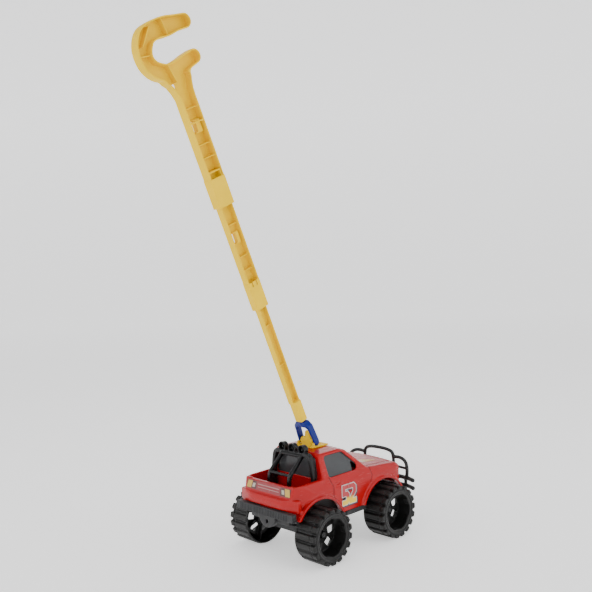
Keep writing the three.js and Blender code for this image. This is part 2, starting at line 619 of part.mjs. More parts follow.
// Blue clevis: an arch of flat strap whose studs snap into the bracket's eye; its stem fills the
// pole's neck.
const archHalf = armInner + armThickness;
const clevisTop = 31.3;
const shoulderIn = 1.9; // each arm leans in by this much from its foot to its shoulder
const stemRadius = 4;
const neckFrom = 32.5;
const stemTop = neckFrom + 19;
const clevisOuter = mirrored([
  [archHalf, -armWidth / 2], [archHalf, 5], [archHalf - shoulderIn, clevisTop - 7.5],
  [archHalf - shoulderIn - 1.8, clevisTop - 3.2], [archHalf - 7, clevisTop],
]);
const clevisInner = mirrored([
  [armInner, -armWidth], [armInner, 5], [armInner - shoulderIn, clevisTop - 10.5],
  [armInner - 6, clevisTop - 7.6],
]);
const armSide = [...circle(0, 0, armWidth / 2, 10, Math.PI, Math.PI), [armWidth / 2, 60],
  [-armWidth / 2, 60]];
const clevis = join(
  meet(
    cut(alongX(clevisOuter, -armWidth, armWidth), alongX(clevisInner, -armWidth - 1, armWidth + 1)),
    alongY(armSide, -archHalf - 1, archHalf + 1),
  ),
  ...bothSides.map((side) =>
    rod([0, side * (eyeHalf + 1), 0], [0, side * (armInner + 1), 0], studRadius, 12)),
  rod([0, 0, clevisTop - 2], [0, 0, stemTop], stemRadius, 12),
);
place('clevis', clevis, 'blue', pole);

// A pole channel lies open to the right: floor on the left, a wall front and back.
const sideOf = (depth) => [poleSide - depth / 2, poleSide + depth / 2];
function channel({ width, depth }, from, to) {
  const [right, left] = sideOf(depth);
  return cut(
    box(-width / 2, width / 2, right, left, from, to),
    box(-width / 2 + grooveWall, width / 2 - grooveWall, right - 1, left - grooveWall,
      from + grooveWall, to - grooveWall),
  );
}
const slot = (s, from, to, wide = 5.5) => box(s - wide / 2, s + wide / 2, -2, poleSide + 20, from, to);
const crossRib = ({ width, depth }, at) => box(-width / 2 + 1, width / 2 - 1,
  sideOf(depth)[0] + 3, sideOf(depth)[1] - 1, at - 0.6, at + 0.6);

const neckHalf = 5.8;
const neckSide = 6.3;
const lowerSolid = cut(
  join(
    alongZ([[-neckHalf, -4.5], [-4, -neckSide], [4, -neckSide], [neckHalf, -4.5],
      [neckHalf, 4.5], [4, neckSide], [-4, neckSide], [-neckHalf, 4.5]],
    neckFrom, lowerPole.from + 2),
    channel(lowerPole, lowerPole.from, lowerPole.to),
    crossRib(lowerPole, 116),
    crossRib(lowerPole, 173),
  ),
  rod([0, 0, neckFrom - 1], [0, 0, stemTop + gap], stemRadius + gap, 12),
);
place('pole_lower', lowerSolid, 'yellow', pole);

// A sleeve closes the channel round the section below it.
function sleeve(outer, innerPole, from, to, proud) {
  const bottom = from - 1;
  const top = Math.max(to + 1, innerPole.to + gap);
  const [right, left] = sideOf(outer.depth);
  const [innerRight, innerLeft] = sideOf(innerPole.depth + 2 * gap);
  const cavity = innerPole.width / 2 + gap;
  return {
    body: box(-outer.width / 2 - proud, outer.width / 2 + proud, right - proud, left + proud, from, to),
    hole: box(-cavity, cavity, innerRight, innerLeft, bottom, top),
  };
}
const lowSleeve = sleeve(middlePole, lowerPole, middlePole.from, lowSleeveTop, 0.3);
const slit = (s, top) => box(s - 0.6, s + 0.6, -20, sideOf(middlePole.depth)[0] + 2, top - 7, top + 1);
const middleSolid = cut(
  join(
    channel(middlePole, middlePole.from + 10, middlePole.to),
    lowSleeve.body,
    box(-3, 6, sideOf(middlePole.depth)[0] + 4, sideOf(middlePole.depth)[1] - 1, 287, 302),
  ),
  lowSleeve.hole,
  slit(-3.6, lowSleeveTop),
  slit(3.6, lowSleeveTop),
  slot(-2, 288.5, 300.5),
  slot(-5, 318.5, 333),
);
place('pole_middle', middleSolid, 'yellow', pole);

// The upper section and the C grip are one moulding; ribs cross the grip's channel.
const grip = [
  [33, 551.5, 8.8], [20, 552, 9.6], [3, 551.7, 11.6], [-13, 551, 11], [-26, 547, 11],
  [-34, 537, 10.6], [-36.6, 526, 9.7], [-34, 515.5, 9.5], [-26, 507.5, 10], [-12, 502.6, 9.9],
  [5, 504.6, 9.6], [18, 508.4, 9], [29.5, 511, 8.7],
];
const throat = [
  [0, 455, 11.5], [0, 468, 11.5], [-1, 479, 13], [-2, 487, 15.7], [-3.5, 494, 20.5], [-4.5, 499, 24],
];
const gripSteps = 30;
const [upperRight, upperLeft] = sideOf(upperPole.depth);
const throatShape = (less) => {
  const right = throat.map(([s, d, h]) => [s + h - less, d]);
  const left = throat.map(([s, d, h]) => [s - h + less, d]).reverse();
  return [...right, ...left];
};
const gripPocket = band(grip, grooveWall, gripSteps);
const gripOutside = band(grip, 0, gripSteps);
const floorY = upperLeft - grooveWall;
const gripRib = (s, d, angle) => box(-12, 12, upperRight + 3, floorY + 0.5, -0.6, 0.6)
  .rotate([0, angle, 0]).translate([s, 0, d]);
const gripRibs = meet(
  join(gripRib(3, 551.5, 83), gripRib(-36, 527, 5), gripRib(-9, 502.5, 78), gripRib(-26, 547, -48)),
  alongY(gripOutside, upperRight, upperLeft),
);
const highSleeve = sleeve(upperPole, middlePole, upperPole.from, highSleeveTop, 0.5);
const upperSolid = cut(
  join(
    cut(
      join(
        alongY(gripOutside, upperRight, upperLeft),
        alongY(throatShape(0), upperRight, upperLeft),
      ),
      alongY(gripPocket, upperRight - 1, floorY),
      cut(alongY(throatShape(grooveWall), upperRight - 1, floorY),
        alongY(gripOutside, upperRight - 2, upperLeft)),
    ),
    gripRibs,
    channel(upperPole, upperPole.from + 10, 457),
    highSleeve.body,
    box(-4, 8, upperRight + 5, upperLeft - 1, 428, 444),
  ),
  highSleeve.hole,
  box(-upperPole.width / 2 + grooveWall, upperPole.width / 2 - grooveWall, upperRight - 1, floorY,
    450, 460),
  slot(-2.5, 429.5, 443),
  slot(-7, 475, 489, 4),
);
place('pole_handle', upperSolid, 'yellow', pole);

// ---------------------------------------------------------------- stickers
// Thin printed labels: lamp panel on the tailgate, a race number on each door, a bonnet flash.
const labelThickness = 0.3;
const gateSlope = Math.atan2(4, railZ + 0.7 - ledgeTopZ);
const gateOffset = (out) => [tailX - out * Math.cos(gateSlope), -out * Math.sin(gateSlope)];
function gateLabel() {
  const [x0, dz0] = gateOffset(gap);
  const [x1, dz1] = gateOffset(gap + labelThickness);
  const low = 2.5;
  const high = 14.5;
  const slide = Math.tan(gateSlope);
  return alongY([
    [x0 + low * slide, ledgeTopZ + low + dz0], [x0 + high * slide, ledgeTopZ + high + dz0],
    [x1 + high * slide, ledgeTopZ + high + dz1], [x1 + low * slide, ledgeTopZ + low + dz1],
  ], -half + 12.5, half - 12.5);
}
place('tail_label', gateLabel(), 'sticker');

const digitWidth = 13.5;
const digitFive = [
  [0, 26], [12.5, 26], [12.5, 20.5], [6, 20.5], [6, 17.2], [10, 17.2], [13.5, 13.5], [13.5, 4],
  [9.5, 0], [0, 0], [0, 6], [7, 6], [7.6, 6.8], [7.6, 10.5], [7, 11.3], [0, 11.3],
];
const digitTwo = [
  [0, 26], [9.5, 26], [13.5, 22], [13.5, 14], [6.5, 6], [13.5, 6], [13.5, 0], [0, 0], [0, 6.5],
  [7.6, 15.5], [7.6, 19.5], [6.8, 20.3], [0, 20.3],
];
const numberX = -19;
const numberZ = sillZ + 8.5;
for (const [name, side] of [['left', 1], ['right', -1]]) {
  const from = side > 0 ? half + gap : -half - gap - labelThickness;
  const digits = [digitFive, digitTwo].map((points, i) => alongY(points.map(([a, b]) =>
    [numberX + a + i * (digitWidth - 0.5), numberZ + b]), from, from + labelThickness));
  const middle = numberX + digitWidth - 0.25;
  const label = join(...digits);
  const facing = side < 0 ? label
    : label.translate([-middle, 0, 0]).mirror([1, 0, 0]).translate([middle, 0, 0]);
  place(`door_number_${name}`, facing, 'sticker');
}

const flashX = [screenBaseX + 4, noseTopX - 5];
const flash = alongY([
  [flashX[0], bonnetZ(flashX[0]) + gap], [flashX[1], bonnetZ(flashX[1]) + gap],
  [flashX[1], bonnetZ(flashX[1]) + gap + labelThickness],
  [flashX[0], bonnetZ(flashX[0]) + gap + labelThickness],
], -half + 16, half - 16);
place('bonnet_label', flash, 'sticker');

// The toy's zero ends on the ground under the middle of its outline.
toy.updateMatrixWorld(true);
const reach = new THREE.Box3().setFromObject(toy, true);
toy.position.x = -(reach.min.x + reach.max.x) / 2;
toy.position.y = -(reach.min.y + reach.max.y) / 2;
toy.position.z = -reach.min.z;

export default toy;
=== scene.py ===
import math

import bpy
import numpy as np
from mathutils import Matrix, Vector


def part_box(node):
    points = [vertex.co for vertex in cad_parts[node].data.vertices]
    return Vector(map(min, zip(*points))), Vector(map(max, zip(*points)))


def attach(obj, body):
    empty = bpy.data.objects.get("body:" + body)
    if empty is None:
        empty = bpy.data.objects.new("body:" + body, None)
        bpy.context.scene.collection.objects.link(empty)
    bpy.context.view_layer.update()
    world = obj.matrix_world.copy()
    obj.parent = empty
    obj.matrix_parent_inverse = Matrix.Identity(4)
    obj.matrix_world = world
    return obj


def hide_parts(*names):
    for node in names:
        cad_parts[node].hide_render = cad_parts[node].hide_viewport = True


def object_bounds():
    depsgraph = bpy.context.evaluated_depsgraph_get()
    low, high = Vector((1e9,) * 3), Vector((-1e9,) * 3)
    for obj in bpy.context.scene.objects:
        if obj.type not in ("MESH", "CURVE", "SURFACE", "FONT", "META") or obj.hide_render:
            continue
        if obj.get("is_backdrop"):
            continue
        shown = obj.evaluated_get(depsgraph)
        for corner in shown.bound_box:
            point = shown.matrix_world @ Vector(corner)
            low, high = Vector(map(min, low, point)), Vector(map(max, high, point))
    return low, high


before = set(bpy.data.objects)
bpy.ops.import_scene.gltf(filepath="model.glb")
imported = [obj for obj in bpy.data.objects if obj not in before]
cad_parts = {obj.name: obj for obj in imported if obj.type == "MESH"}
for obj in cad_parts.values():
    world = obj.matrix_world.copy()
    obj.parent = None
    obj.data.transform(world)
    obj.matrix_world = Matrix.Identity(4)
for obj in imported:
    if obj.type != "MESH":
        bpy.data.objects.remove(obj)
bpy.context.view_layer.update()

# ------------------------------------------------------------ the truck's own coordinates
# Every piece is drawn in millimetres: X forward from midway between the axles, Y to the truck's
# left, Z up from the ground. The axles in the frame say where that zero lies.
MM = 0.001


def middle(node):
    low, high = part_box(node)
    return (low + high) / 2


zero = (middle("front_axle") + middle("rear_axle")) / 2
axle_z = 35.0
zero.z -= axle_z * MM
front_x = (middle("front_axle").x - zero.x) / MM
rear_x = -front_x


def size_of(node):
    low, high = (np.array(corner - zero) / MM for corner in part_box(node))
    return low, high


# ------------------------------------------------------------ floor, light and camera
# A seamless dish of pale paper all round, with a broad softbox overhead and a smaller one on each
# side. The camera stands low behind the truck's right, close enough for strong perspective.
floor_mesh = bpy.data.meshes.new("floor")
flat_radius, cove, rim_height = 4, 1.5, 4.5
dish = [(0.02, 0)]
for t in np.linspace(0, math.pi / 2, 12):
    dish.append((flat_radius + cove * math.sin(t), cove - cove * math.cos(t)))
dish.append((flat_radius + cove, rim_height))
floor_points, floor_faces, floor_sides = [], [], 48
for run, rise in dish:
    for turn in np.arange(floor_sides) * 2 * math.pi / floor_sides:
        floor_points.append((run * math.cos(turn), run * math.sin(turn), rise))
for ring in range(len(dish) - 1):
    for i in range(floor_sides):
        j = (i + 1) % floor_sides
        floor_faces.append((ring * floor_sides + i, (ring + 1) * floor_sides + i,
                            (ring + 1) * floor_sides + j, ring * floor_sides + j))
floor_faces.append(tuple(range(floor_sides)))
floor_mesh.from_pydata(floor_points, [], floor_faces)
floor = bpy.data.objects.new("floor", floor_mesh)
bpy.context.collection.objects.link(floor)
for face in floor_mesh.polygons:
    face.use_smooth = True
floor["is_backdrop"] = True

paper = bpy.data.materials.new("paper sweep")
paper.use_nodes = True
paper_shader = paper.node_tree.nodes["Principled BSDF"]
paper_shader.inputs["Base Color"].default_value = (0.92, 0.92, 0.925, 1)
paper_shader.inputs["Roughness"].default_value = 0.9
paper_shader.inputs["Specular IOR Level"].default_value = 0.1
paper_shader.inputs["Emission Color"].default_value = (1, 1, 1, 1)
paper_shader.inputs["Emission Strength"].default_value = 0.62
floor_mesh.materials.append(paper)

world = bpy.data.worlds.new("studio")
world.use_nodes = True
world.node_tree.nodes["Background"].inputs["Color"].default_value = (1, 1, 1, 1)
world.node_tree.nodes["Background"].inputs["Strength"].default_value = 0.35
bpy.context.scene.world = world


def softbox(name, place, aim, width, height, power):
    lamp = bpy.data.lights.new(name, "AREA")
    lamp.shape = "RECTANGLE"
    lamp.size, lamp.size_y, lamp.energy = width, height, power
    holder = bpy.data.objects.new(name, lamp)
    holder.location = place
    holder.rotation_euler = (Vector(aim) - Vector(place)).to_track_quat("-Z", "Y").to_euler()
    bpy.context.collection.objects.link(holder)


softbox("overhead softbox", (0.1, -0.1, 1.7), (0, 0, 0.1), 1.6, 1.6, 10)
softbox("left softbox", (-1.3, 0.5, 0.9), (0, 0, 0.25), 0.9, 1.2, 3)
softbox("right softbox", (0.5, -1.5, 0.8), (0.05, 0, 0.2), 0.9, 1.2, 4)

camera = bpy.data.objects.new("camera", bpy.data.cameras.new("camera"))
camera.data.sensor_width = 36
camera.data.lens = 48.99
camera.data.clip_start = 0.01
camera_place = Vector((-771.89, -761.33, 383.89)) * MM + zero
heading, dip, tilt = 0.803108, 0.048166, -0.037751
look = Vector((math.cos(dip) * math.cos(heading), math.cos(dip) * math.sin(heading), -math.sin(dip)))
level = look.cross(Vector((0, 0, 1))).normalized()
upward = level.cross(look)
right = level * math.cos(tilt) + upward * math.sin(tilt)
up = upward * math.cos(tilt) - level * math.sin(tilt)
turn = Matrix((right, up, -look)).transposed()
camera.matrix_world = Matrix.Translation(camera_place) @ turn.to_4x4()
bpy.context.collection.objects.link(camera)
bpy.context.scene.camera = camera

# ------------------------------------------------------------ body shell
# The real body is one glossy red ABS moulding, 2 mm thick and open below, with a raised lip round
# each wheel arch. It is shaped here as a solid field: every edge and corner gets a moulded radius.


def rounded(a, b, radius, cosine=0.0):
    """Inside both a and b, the edge between them rounded; cosine is that of their faces' angle."""
    u, v = a + radius, b + radius
    arc = np.sqrt(np.maximum(u * u + v * v - 2 * cosine * u * v, 0) / (1 - cosine**2)) - radius
    return np.where((u > cosine * v) & (v > cosine * u), arc, np.maximum(a, b))


def merged(a, b, radius):
    """Two solids joined, the corner between them filled."""
    return -rounded(-a, -b, radius)


def hull(a, b, points):
    """Distance outside a convex outline drawn anticlockwise: corners are (a, b, radius)."""
    flats, ways = [], []
    for (a0, b0, _), (a1, b1, _) in zip(points, points[1:] + points[:1]):
        run = math.hypot(a1 - a0, b1 - b0)
        ways.append(((b1 - b0) / run, (a0 - a1) / run))
        flats.append((a - a0) * ways[-1][0] + (b - b0) * ways[-1][1])
    solid = flats[0]
    for i, (_, _, radius) in enumerate(points):
        cosine = ways[i - 1][0] * ways[i][0] + ways[i - 1][1] * ways[i][1]
        solid = np.maximum(solid, rounded(flats[i - 1], flats[i], radius, min(cosine, 0.999)))
    return solid


def disc(a, b, centre_a, centre_b, radius):
    return np.hypot(a - centre_a, b - centre_b) - radius


def slab(a, low, high):
    return np.maximum(low - a, a - high)


def block(x, y, z, low, high, radius=0.0):
    """A rounded box from its two corners."""
    solid = rounded(slab(x, low[0], high[0]), slab(y, low[1], high[1]), radius)
    return rounded(solid, slab(z, low[2], high[2]), radius)


def bar(x, y, z, start, end, radius):
    """A round bar with round ends."""
    start, run = np.array(start, float), np.array(end, float) - np.array(start, float)
    share = ((x - start[0]) * run[0] + (y - start[1]) * run[1] + (z - start[2]) * run[2]) / (run @ run)
    share = np.clip(share, 0, 1)
    off = [axis - start[i] - share * run[i] for i, axis in enumerate((x, y, z))]
    return np.sqrt(off[0] ** 2 + off[1] ** 2 + off[2] ** 2) - radius


def chain(a, b, stations):
    """Distance outside a strip through stations (a, b, half width), straight between them."""
    nearest = None
    for (a0, b0, h0), (a1, b1, h1) in zip(stations, stations[1:]):
        run_a, run_b = a1 - a0, b1 - b0
        share = np.clip(((a - a0) * run_a + (b - b0) * run_b) / (run_a**2 + run_b**2), 0, 1)
        off = np.hypot(a - a0 - share * run_a, b - b0 - share * run_b) - h0 - share * (h1 - h0)
        nearest = off if nearest is None else np.minimum(nearest, off)
    return nearest


def smooth_way(stations, steps):
    """Stations filled in along a curve through them, steps to each gap."""
    way = np.array([2 * np.array(stations[0], float) - stations[1], *stations,
                    2 * np.array(stations[-1], float) - stations[-2]])
    filled = []
    for before, start, end, after in zip(way, way[1:], way[2:], way[3:]):
        for t in np.arange(steps) / steps:
            square = (2 * before - 5 * start + 4 * end - after) * t**2
            cube = (3 * start - before - 3 * end + after) * t**3
            filled.append(0.5 * (2 * start + (end - before) * t + square + cube))
    return [tuple(row) for row in [*filled, way[-2]]]


def skin_of(field, low, high, cell):
    """Vertices and four-sided faces of the field's zero surface, each vertex moved onto it."""
    axes = [np.arange(a - 1.5 * cell, b + 2.5 * cell, cell) for a, b in zip(low, high)]
    shape = tuple(len(axis) for axis in axes)
    grid = field(axes[0][:, None, None], axes[1][None, :, None], axes[2][None, None, :])
    grid = np.broadcast_to(grid, shape)
    solid = grid < 0
    corners = [(i, j, k) for i in (0, 1) for j in (0, 1) for k in (0, 1)]
    part = lambda values, i, j, k: values[i:shape[0] - 1 + i, j:shape[1] - 1 + j, k:shape[2] - 1 + k]
    filled = sum(part(solid, *corner).astype(np.int8) for corner in corners)
    cells = np.argwhere((filled > 0) & (filled < 8))
    number = np.full([n - 1 for n in shape], -1)
    number[tuple(cells.T)] = np.arange(len(cells))
    values = {corner: grid[tuple((cells + corner).T)] for corner in corners}
    total = np.zeros((len(cells), 3))
    hits = np.zeros(len(cells))
    for first in corners:
        for axis in range(3):
            if first[axis]:
                continue
            second = tuple(v + (i == axis) for i, v in enumerate(first))
            crossed = (values[first] < 0) != (values[second] < 0)
            step = np.where(crossed, values[first] - values[second], 1)
            share = np.where(crossed, values[first] / step, 0)
            place = np.array(first, float)[None, :] + share[:, None] * (np.arange(3) == axis)
            total += place * crossed[:, None]
            hits += crossed
    points = np.array([axis[0] for axis in axes]) + (cells + total / hits[:, None]) * cell
    nudge = 0.05 * cell
    for _ in range(3):
        here = field(*points.T)
        slope = np.stack([(field(*(points + nudge * way).T) - here) / nudge for way in np.eye(3)], 1)
        steep = np.maximum((slope ** 2).sum(1), 0.25)
        points -= np.clip(here / steep, -cell / 2, cell / 2)[:, None] * slope
    faces = []
    for axis in range(3):
        u, v = (axis + 1) % 3, (axis + 2) % 3
        edge = np.argwhere(solid != np.roll(solid, -1, axis))
        keep = (edge[:, u] > 0) & (edge[:, v] > 0) & (edge[:, axis] < shape[axis] - 1)
        keep &= (edge[:, u] < shape[u] - 1) & (edge[:, v] < shape[v] - 1)
        edge = edge[keep]
        ways = np.eye(3, dtype=int)
        ring = [edge - ways[u] - ways[v], edge - ways[v], edge, edge - ways[u]]
        quad = np.stack([number[tuple(corner.T)] for corner in ring], 1)
        outward = solid[tuple(edge.T)]
        faces.append(np.where(outward[:, None], quad, quad[:, ::-1]))
    return points, np.concatenate(faces)


def show(name, points, faces, finish, body, nodes=(), angle=None):
    """Makes a smooth-shaded piece from millimetre points and rides it on a body."""
    mesh = bpy.data.meshes.new(name)
    mesh.vertices.add(len(points))
    mesh.vertices.foreach_set("co", (np.asarray(points, float) * MM + np.array(zero)).ravel())
    sizes = [len(face) for face in faces] if isinstance(faces, list) else [faces.shape[1]] * len(faces)
    loops = np.concatenate([np.asarray(face) for face in faces]) if isinstance(faces, list) else faces.ravel()
    mesh.loops.add(len(loops))
    mesh.loops.foreach_set("vertex_index", loops.astype(np.int32))
    mesh.polygons.add(len(sizes))
    mesh.polygons.foreach_set("loop_start", np.concatenate([[0], np.cumsum(sizes)[:-1]]).astype(np.int32))
    mesh.polygons.foreach_set("use_smooth", np.ones(len(sizes), bool))
    mesh.update(calc_edges=True)
    mesh.validate()
    if angle is not None:
        mesh.set_sharp_from_angle(angle=math.radians(angle))
    mesh.materials.append(finish)
    piece = bpy.data.objects.new(name, mesh)
    bpy.context.collection.objects.link(piece)
    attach(piece, body)
    if nodes:
        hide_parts(*nodes)
    return piece


def mould(name, field, low, high, cell, finish, body, nodes=(), put=None):
    points, faces = skin_of(field, low, high, cell)
    return show(name, put(points) if put else points, faces, finish, body, nodes)


class Value:
    """A number that varies over a surface. Arithmetic on it adds Math nodes."""

    def __init__(self, finish, socket):
        self.finish, self.socket = finish, socket

    def maths(self, operation, *terms):
        return self.finish.node("Math", {"operation": operation}, {i: term for i, term in enumerate(terms)})

    def __add__(self, other):
        return self.maths("ADD", self, other)

    def __radd__(self, other):
        return self.maths("ADD", other, self)

    def __sub__(self, other):
        return self.maths("SUBTRACT", self, other)

    def __rsub__(self, other):
        return self.maths("SUBTRACT", other, self)

    def __mul__(self, other):
        return self.maths("MULTIPLY", self, other)

    def __rmul__(self, other):
        return self.maths("MULTIPLY", other, self)

    def __gt__(self, other):
        return self.maths("GREATER_THAN", self, other)

    def __lt__(self, other):
        return self.maths("LESS_THAN", self, other)

    def size(self):
        return self.maths("ABSOLUTE", self)

    def root(self):
        return self.maths("SQRT", self)

    def least(self, other):
        return self.maths("MINIMUM", self, other)

    def most(self, other):
        return self.maths("MAXIMUM", self, other)

    def wave(self, pitch):
        """A ripple between 0 and 1, one crest every pitch."""
        return self.maths("SINE", self * (2 * math.pi / pitch)) * 0.5 + 0.5

    def fade(self, start, end):
        """0 below start, 1 beyond end, smooth between; start may be the larger."""
        return self.finish.node("MapRange", {"interpolation_type": "SMOOTHSTEP"},
                                {"Value": self, "From Min": start, "From Max": end})


class Finish:
    """A procedural material round one Principled shader."""

    def __init__(self, name, roughness, coat=0.0, **fixed):
        self.material = bpy.data.materials.new(name)
        self.material.use_nodes = True
        self.tree = self.material.node_tree
        self.shader = self.tree.nodes["Principled BSDF"]
        self.shader.inputs["Roughness"].default_value = roughness
        self.shader.inputs["Coat Weight"].default_value = coat
        for socket, value in fixed.items():
            self.shader.inputs[socket.replace("_", " ")].default_value = value
        self.place = self.node("TexCoord", {}, {}, "Object")
        split = self.tree.nodes.new("ShaderNodeSeparateXYZ")
        self.tree.links.new(self.place.socket, split.inputs[0])
        self.x, self.y, self.z = (
            (Value(self, split.outputs[i]) - zero[i]) * 1000 for i in range(3))

    def node(self, kind, settings, sockets, output=0):
        made = self.tree.nodes.new("ShaderNode" + kind)
        for name, value in settings.items():
            setattr(made, name, value)
        for name, value in sockets.items():
            if isinstance(value, Value):
                self.tree.links.new(value.socket, made.inputs[name])
            else:
                made.inputs[name].default_value = value
        return Value(self, made.outputs[output])

    def noise(self, scale, detail=2.0):
        """Cloudy variation, about 0.5 on average; scale is blobs per metre."""
        return self.node("TexNoise", {}, {"Vector": self.place, "Scale": scale, "Detail": detail})

    def blend(self, first, second, amount):
        rgba = lambda c: c if isinstance(c, Value) else (*c, 1)
        return self.node("Mix", {"data_type": "RGBA"}, {0: amount, 6: rgba(first), 7: rgba(second)}, 2)

    def set(self, socket, value):
        self.tree.links.new(value.socket, self.shader.inputs[socket])

    def bump(self, height, depth):
        """Relief from a height of 0 to 1; depth in millimetres."""
        self.set("Normal", self.node("Bump", {}, {"Strength": 1.0, "Distance": depth * MM, "Height": height}))


def plastic(name, colour, roughness, grain=0.012, shade=0.9, **fixed):
    """Injection-moulded plastic: cloudy colour, uneven gloss, faint ripple and fine handling marks."""
    finish = Finish(name, roughness, **fixed)
    cloud = finish.noise(28, 3)
    speck = finish.noise(1900, 2)
    scuff = finish.node("TexNoise", {}, {
        "Vector": finish.node("Mapping", {}, {"Vector": finish.place, "Scale": (60, 340, 900)}),
        "Scale": 1.0, "Detail": 4.0}).fade(0.6, 0.72)
    dark = tuple(c * shade for c in colour)
    finish.colour = finish.blend(dark, colour, cloud.fade(0.3, 0.7))
    finish.gloss = roughness + (cloud - 0.5) * 0.1 + scuff * 0.09 + (speck - 0.5) * 0.05
    finish.relief = cloud * 0.8 + speck * 0.2
    finish.grain = grain
    return finish


def done(finish):
    finish.set("Base Color", finish.colour)
    finish.set("Roughness", finish.gloss)
    finish.bump(finish.relief, finish.grain)
    return finish.material


body_low, body_high = size_of("body_shell")
roof = body_high[2]
nose = body_high[0]
tail = -101.0
side = 53.5
crease = 87.0
wall = 2.0
sill, end_line = 50.5, 58.5
arch_places = ((front_x - 1.5, 42.5), (rear_x + 4.2, 42.5))
lip_width = 3.5
bed_floor = 75.0
bed_rear, bed_front, bed_side = -92.5, -48.0, 44.0
side_window = [(-37, 99, 4), (25, 99.6, 5), (-4.8, 126.2, 6), (-39.4, 126.2, 4)]
rear_window = [(-38, 97.5, 4), (38, 97.5, 4), (34.2, 125.2, 4), (-34.2, 125.2, 4)]
screen = [(-41.5, 100, 4), (41.5, 100, 4), (36, 124.5, 4), (-36, 124.5, 4)]
door_rear = [(-38, 99, 0.6), (-34, 89, 0.6), (-33.5, 62, 0.6), (-24, 51, 0.6)]
door_front = [(40, 98, 0.6), (41.5, 88, 0.6), (39, 78, 0.6)]
bonnet_seam = [(38, 42.5, 0.6), (96.5, 40.5, 0.6), (98, 30, 0.6), (98.5, 0, 0.6)]
scuttle_seam = [(38, 42.5, 0.6), (40, 25, 0.6), (40.5, 0, 0.6)]
door_pull = (-29.5, -18.0, 84.0, 92.0)


def lower_outside(x, y, z):
    y = abs(y)
    crowned = z + 0.0011 * y**2 * np.clip((x - 8) / 25, 0, 1)
    flank = hull(x, crowned, [
        (tail, 30, 1), (nose, 30, 1), (nose + 0.3, 60, 5), (107, 76, 9), (101, 90.8, 6),
        (95, 96, 9), (34, 100.2, 30), (-97.2, 98.6, 1.5), (tail, 82, 2)])
    section = hull(y, z, [
        (-60, 25, 1), (side - 0.2, 25, 1), (side, 60, 20), (side + 0.1, crease, 3),
        (47.8, 100.5, 3), (-60, 135, 1)])
    plan = hull(x, y, [
        (-130, -60, 1), (130, -60, 1), (112.5, 33, 8), (108.5, 44, 8), (100, 52, 8), (84, 56.6, 10),
        (-86, 56.6, 4), (-92.5, 52.4, 2), (-103.4, 43.6, 2), (-130, 36, 4)])
    return rounded(rounded(flank, section, 1.6), plan, 1.5)


def ledge(x, y, z):
    side_view = hull(x, z, [
        (-104.9, 69.3, 1.2), (-100, 68, 1.5), (-92, 68, 1), (-92, 83.3, 1), (-101, 83.3, 2),
        (-104.4, 81.5, 2), (-105.5, 75, 2.5)])
    plan = hull(x, abs(y), [
        (-130, -60, 1), (-90, -60, 1), (-90, 53.4, 3), (-101, 53.4, 3), (-106.3, 49.5, 3), (-108, 20, 3)])
    return rounded(side_view, plan, 1.6)


def cab_outside(x, y, z):
    y = abs(y)
    crowned = z + 0.0009 * y**2
    profile = hull(x, crowned, [
        (-48.2, 84, 1), (44, 84, 1), (40, 97.5, 4), (2.5, roof - 2.3, 9), (-8, roof + 0.2, 30),
        (-44.5, roof + 0.2, 3.5), (-47.4, roof - 3, 3.5)])
    section = hull(y, z, [
        (-60, 80, 1), (50.2, 80, 1), (49.2, 98, 6), (41, roof - 3, 6), (37, roof + 9, 1),
        (-60, roof + 30, 1)])
    return rounded(profile, section, 3.2, 0.2)


def body_outside(x, y, z):
    solid = merged(lower_outside(x, y, z), ledge(x, y, z), 1.2)
    solid = merged(solid, cab_outside(x, y, z), 2.5)
    bed = hull(x, abs(y), [
        (bed_rear, -60, 1), (bed_front - 0.2, -60, 1), (bed_front - 0.2, bed_side, 3),
        (bed_rear, bed_side, 3)])
    return rounded(solid, -rounded(bed, bed_floor - z, 2), 1.1)


def arch_edge(x, z, extra):
    rings = [disc(x, z, place, axle_z, radius + extra) for place, radius in arch_places]
    return np.minimum(*rings)


def body_field(x, y, z):
    outer = body_outside(x, y, z)
    shell = rounded(outer, -(outer + wall), 0.6)
    reach = abs(y)
    cuts = np.maximum(np.minimum(chain(x, z, door_rear), chain(x, z, door_front)), 48 - reach)
    top_cuts = np.minimum(chain(x, reach, bonnet_seam), chain(x, reach, scuttle_seam))
    cuts = np.minimum(cuts, np.maximum(top_cuts, 90 - z))
    shell = np.maximum(shell, -np.maximum(cuts, -(outer + 0.7)))
    panel = rounded(slab(x, *door_pull[:2]), slab(z, *door_pull[2:]), 1.8)
    groove = np.maximum(abs(panel) - 0.6, 46 - reach)
    recess = np.maximum(np.maximum(panel + 2, 88.5 - z), 46 - reach)
    shell = np.maximum(shell, -np.maximum(groove, -(outer + 0.6)))
    shell = rounded(shell, -np.maximum(recess, -(outer + 1.2)), 0.3)
    lip = rounded(arch_edge(x, z, lip_width), slab(reach, side - 3, side + 3.3), 1.3)
    shell = merged(shell, lip, 3.2)
    shell = rounded(shell, -np.maximum(arch_edge(x, z, 0), 46.5 - reach), 0.7)
    under = np.minimum(z - sill, np.maximum(z - end_line, np.minimum(80 - x, x + 75)))
    shell = rounded(shell, -under, 0.6)
    windows = np.maximum(hull(x, z, side_window), 20 - reach)
    back = np.maximum(hull(y, z, rear_window), x + 44)
    front = np.maximum(np.maximum(hull(y, z, screen), -8 - x), -(cab_outside(x, y, z) + 9))
    for window in (windows, back, front):
        shell = rounded(shell, -window, 0.7)
    return shell


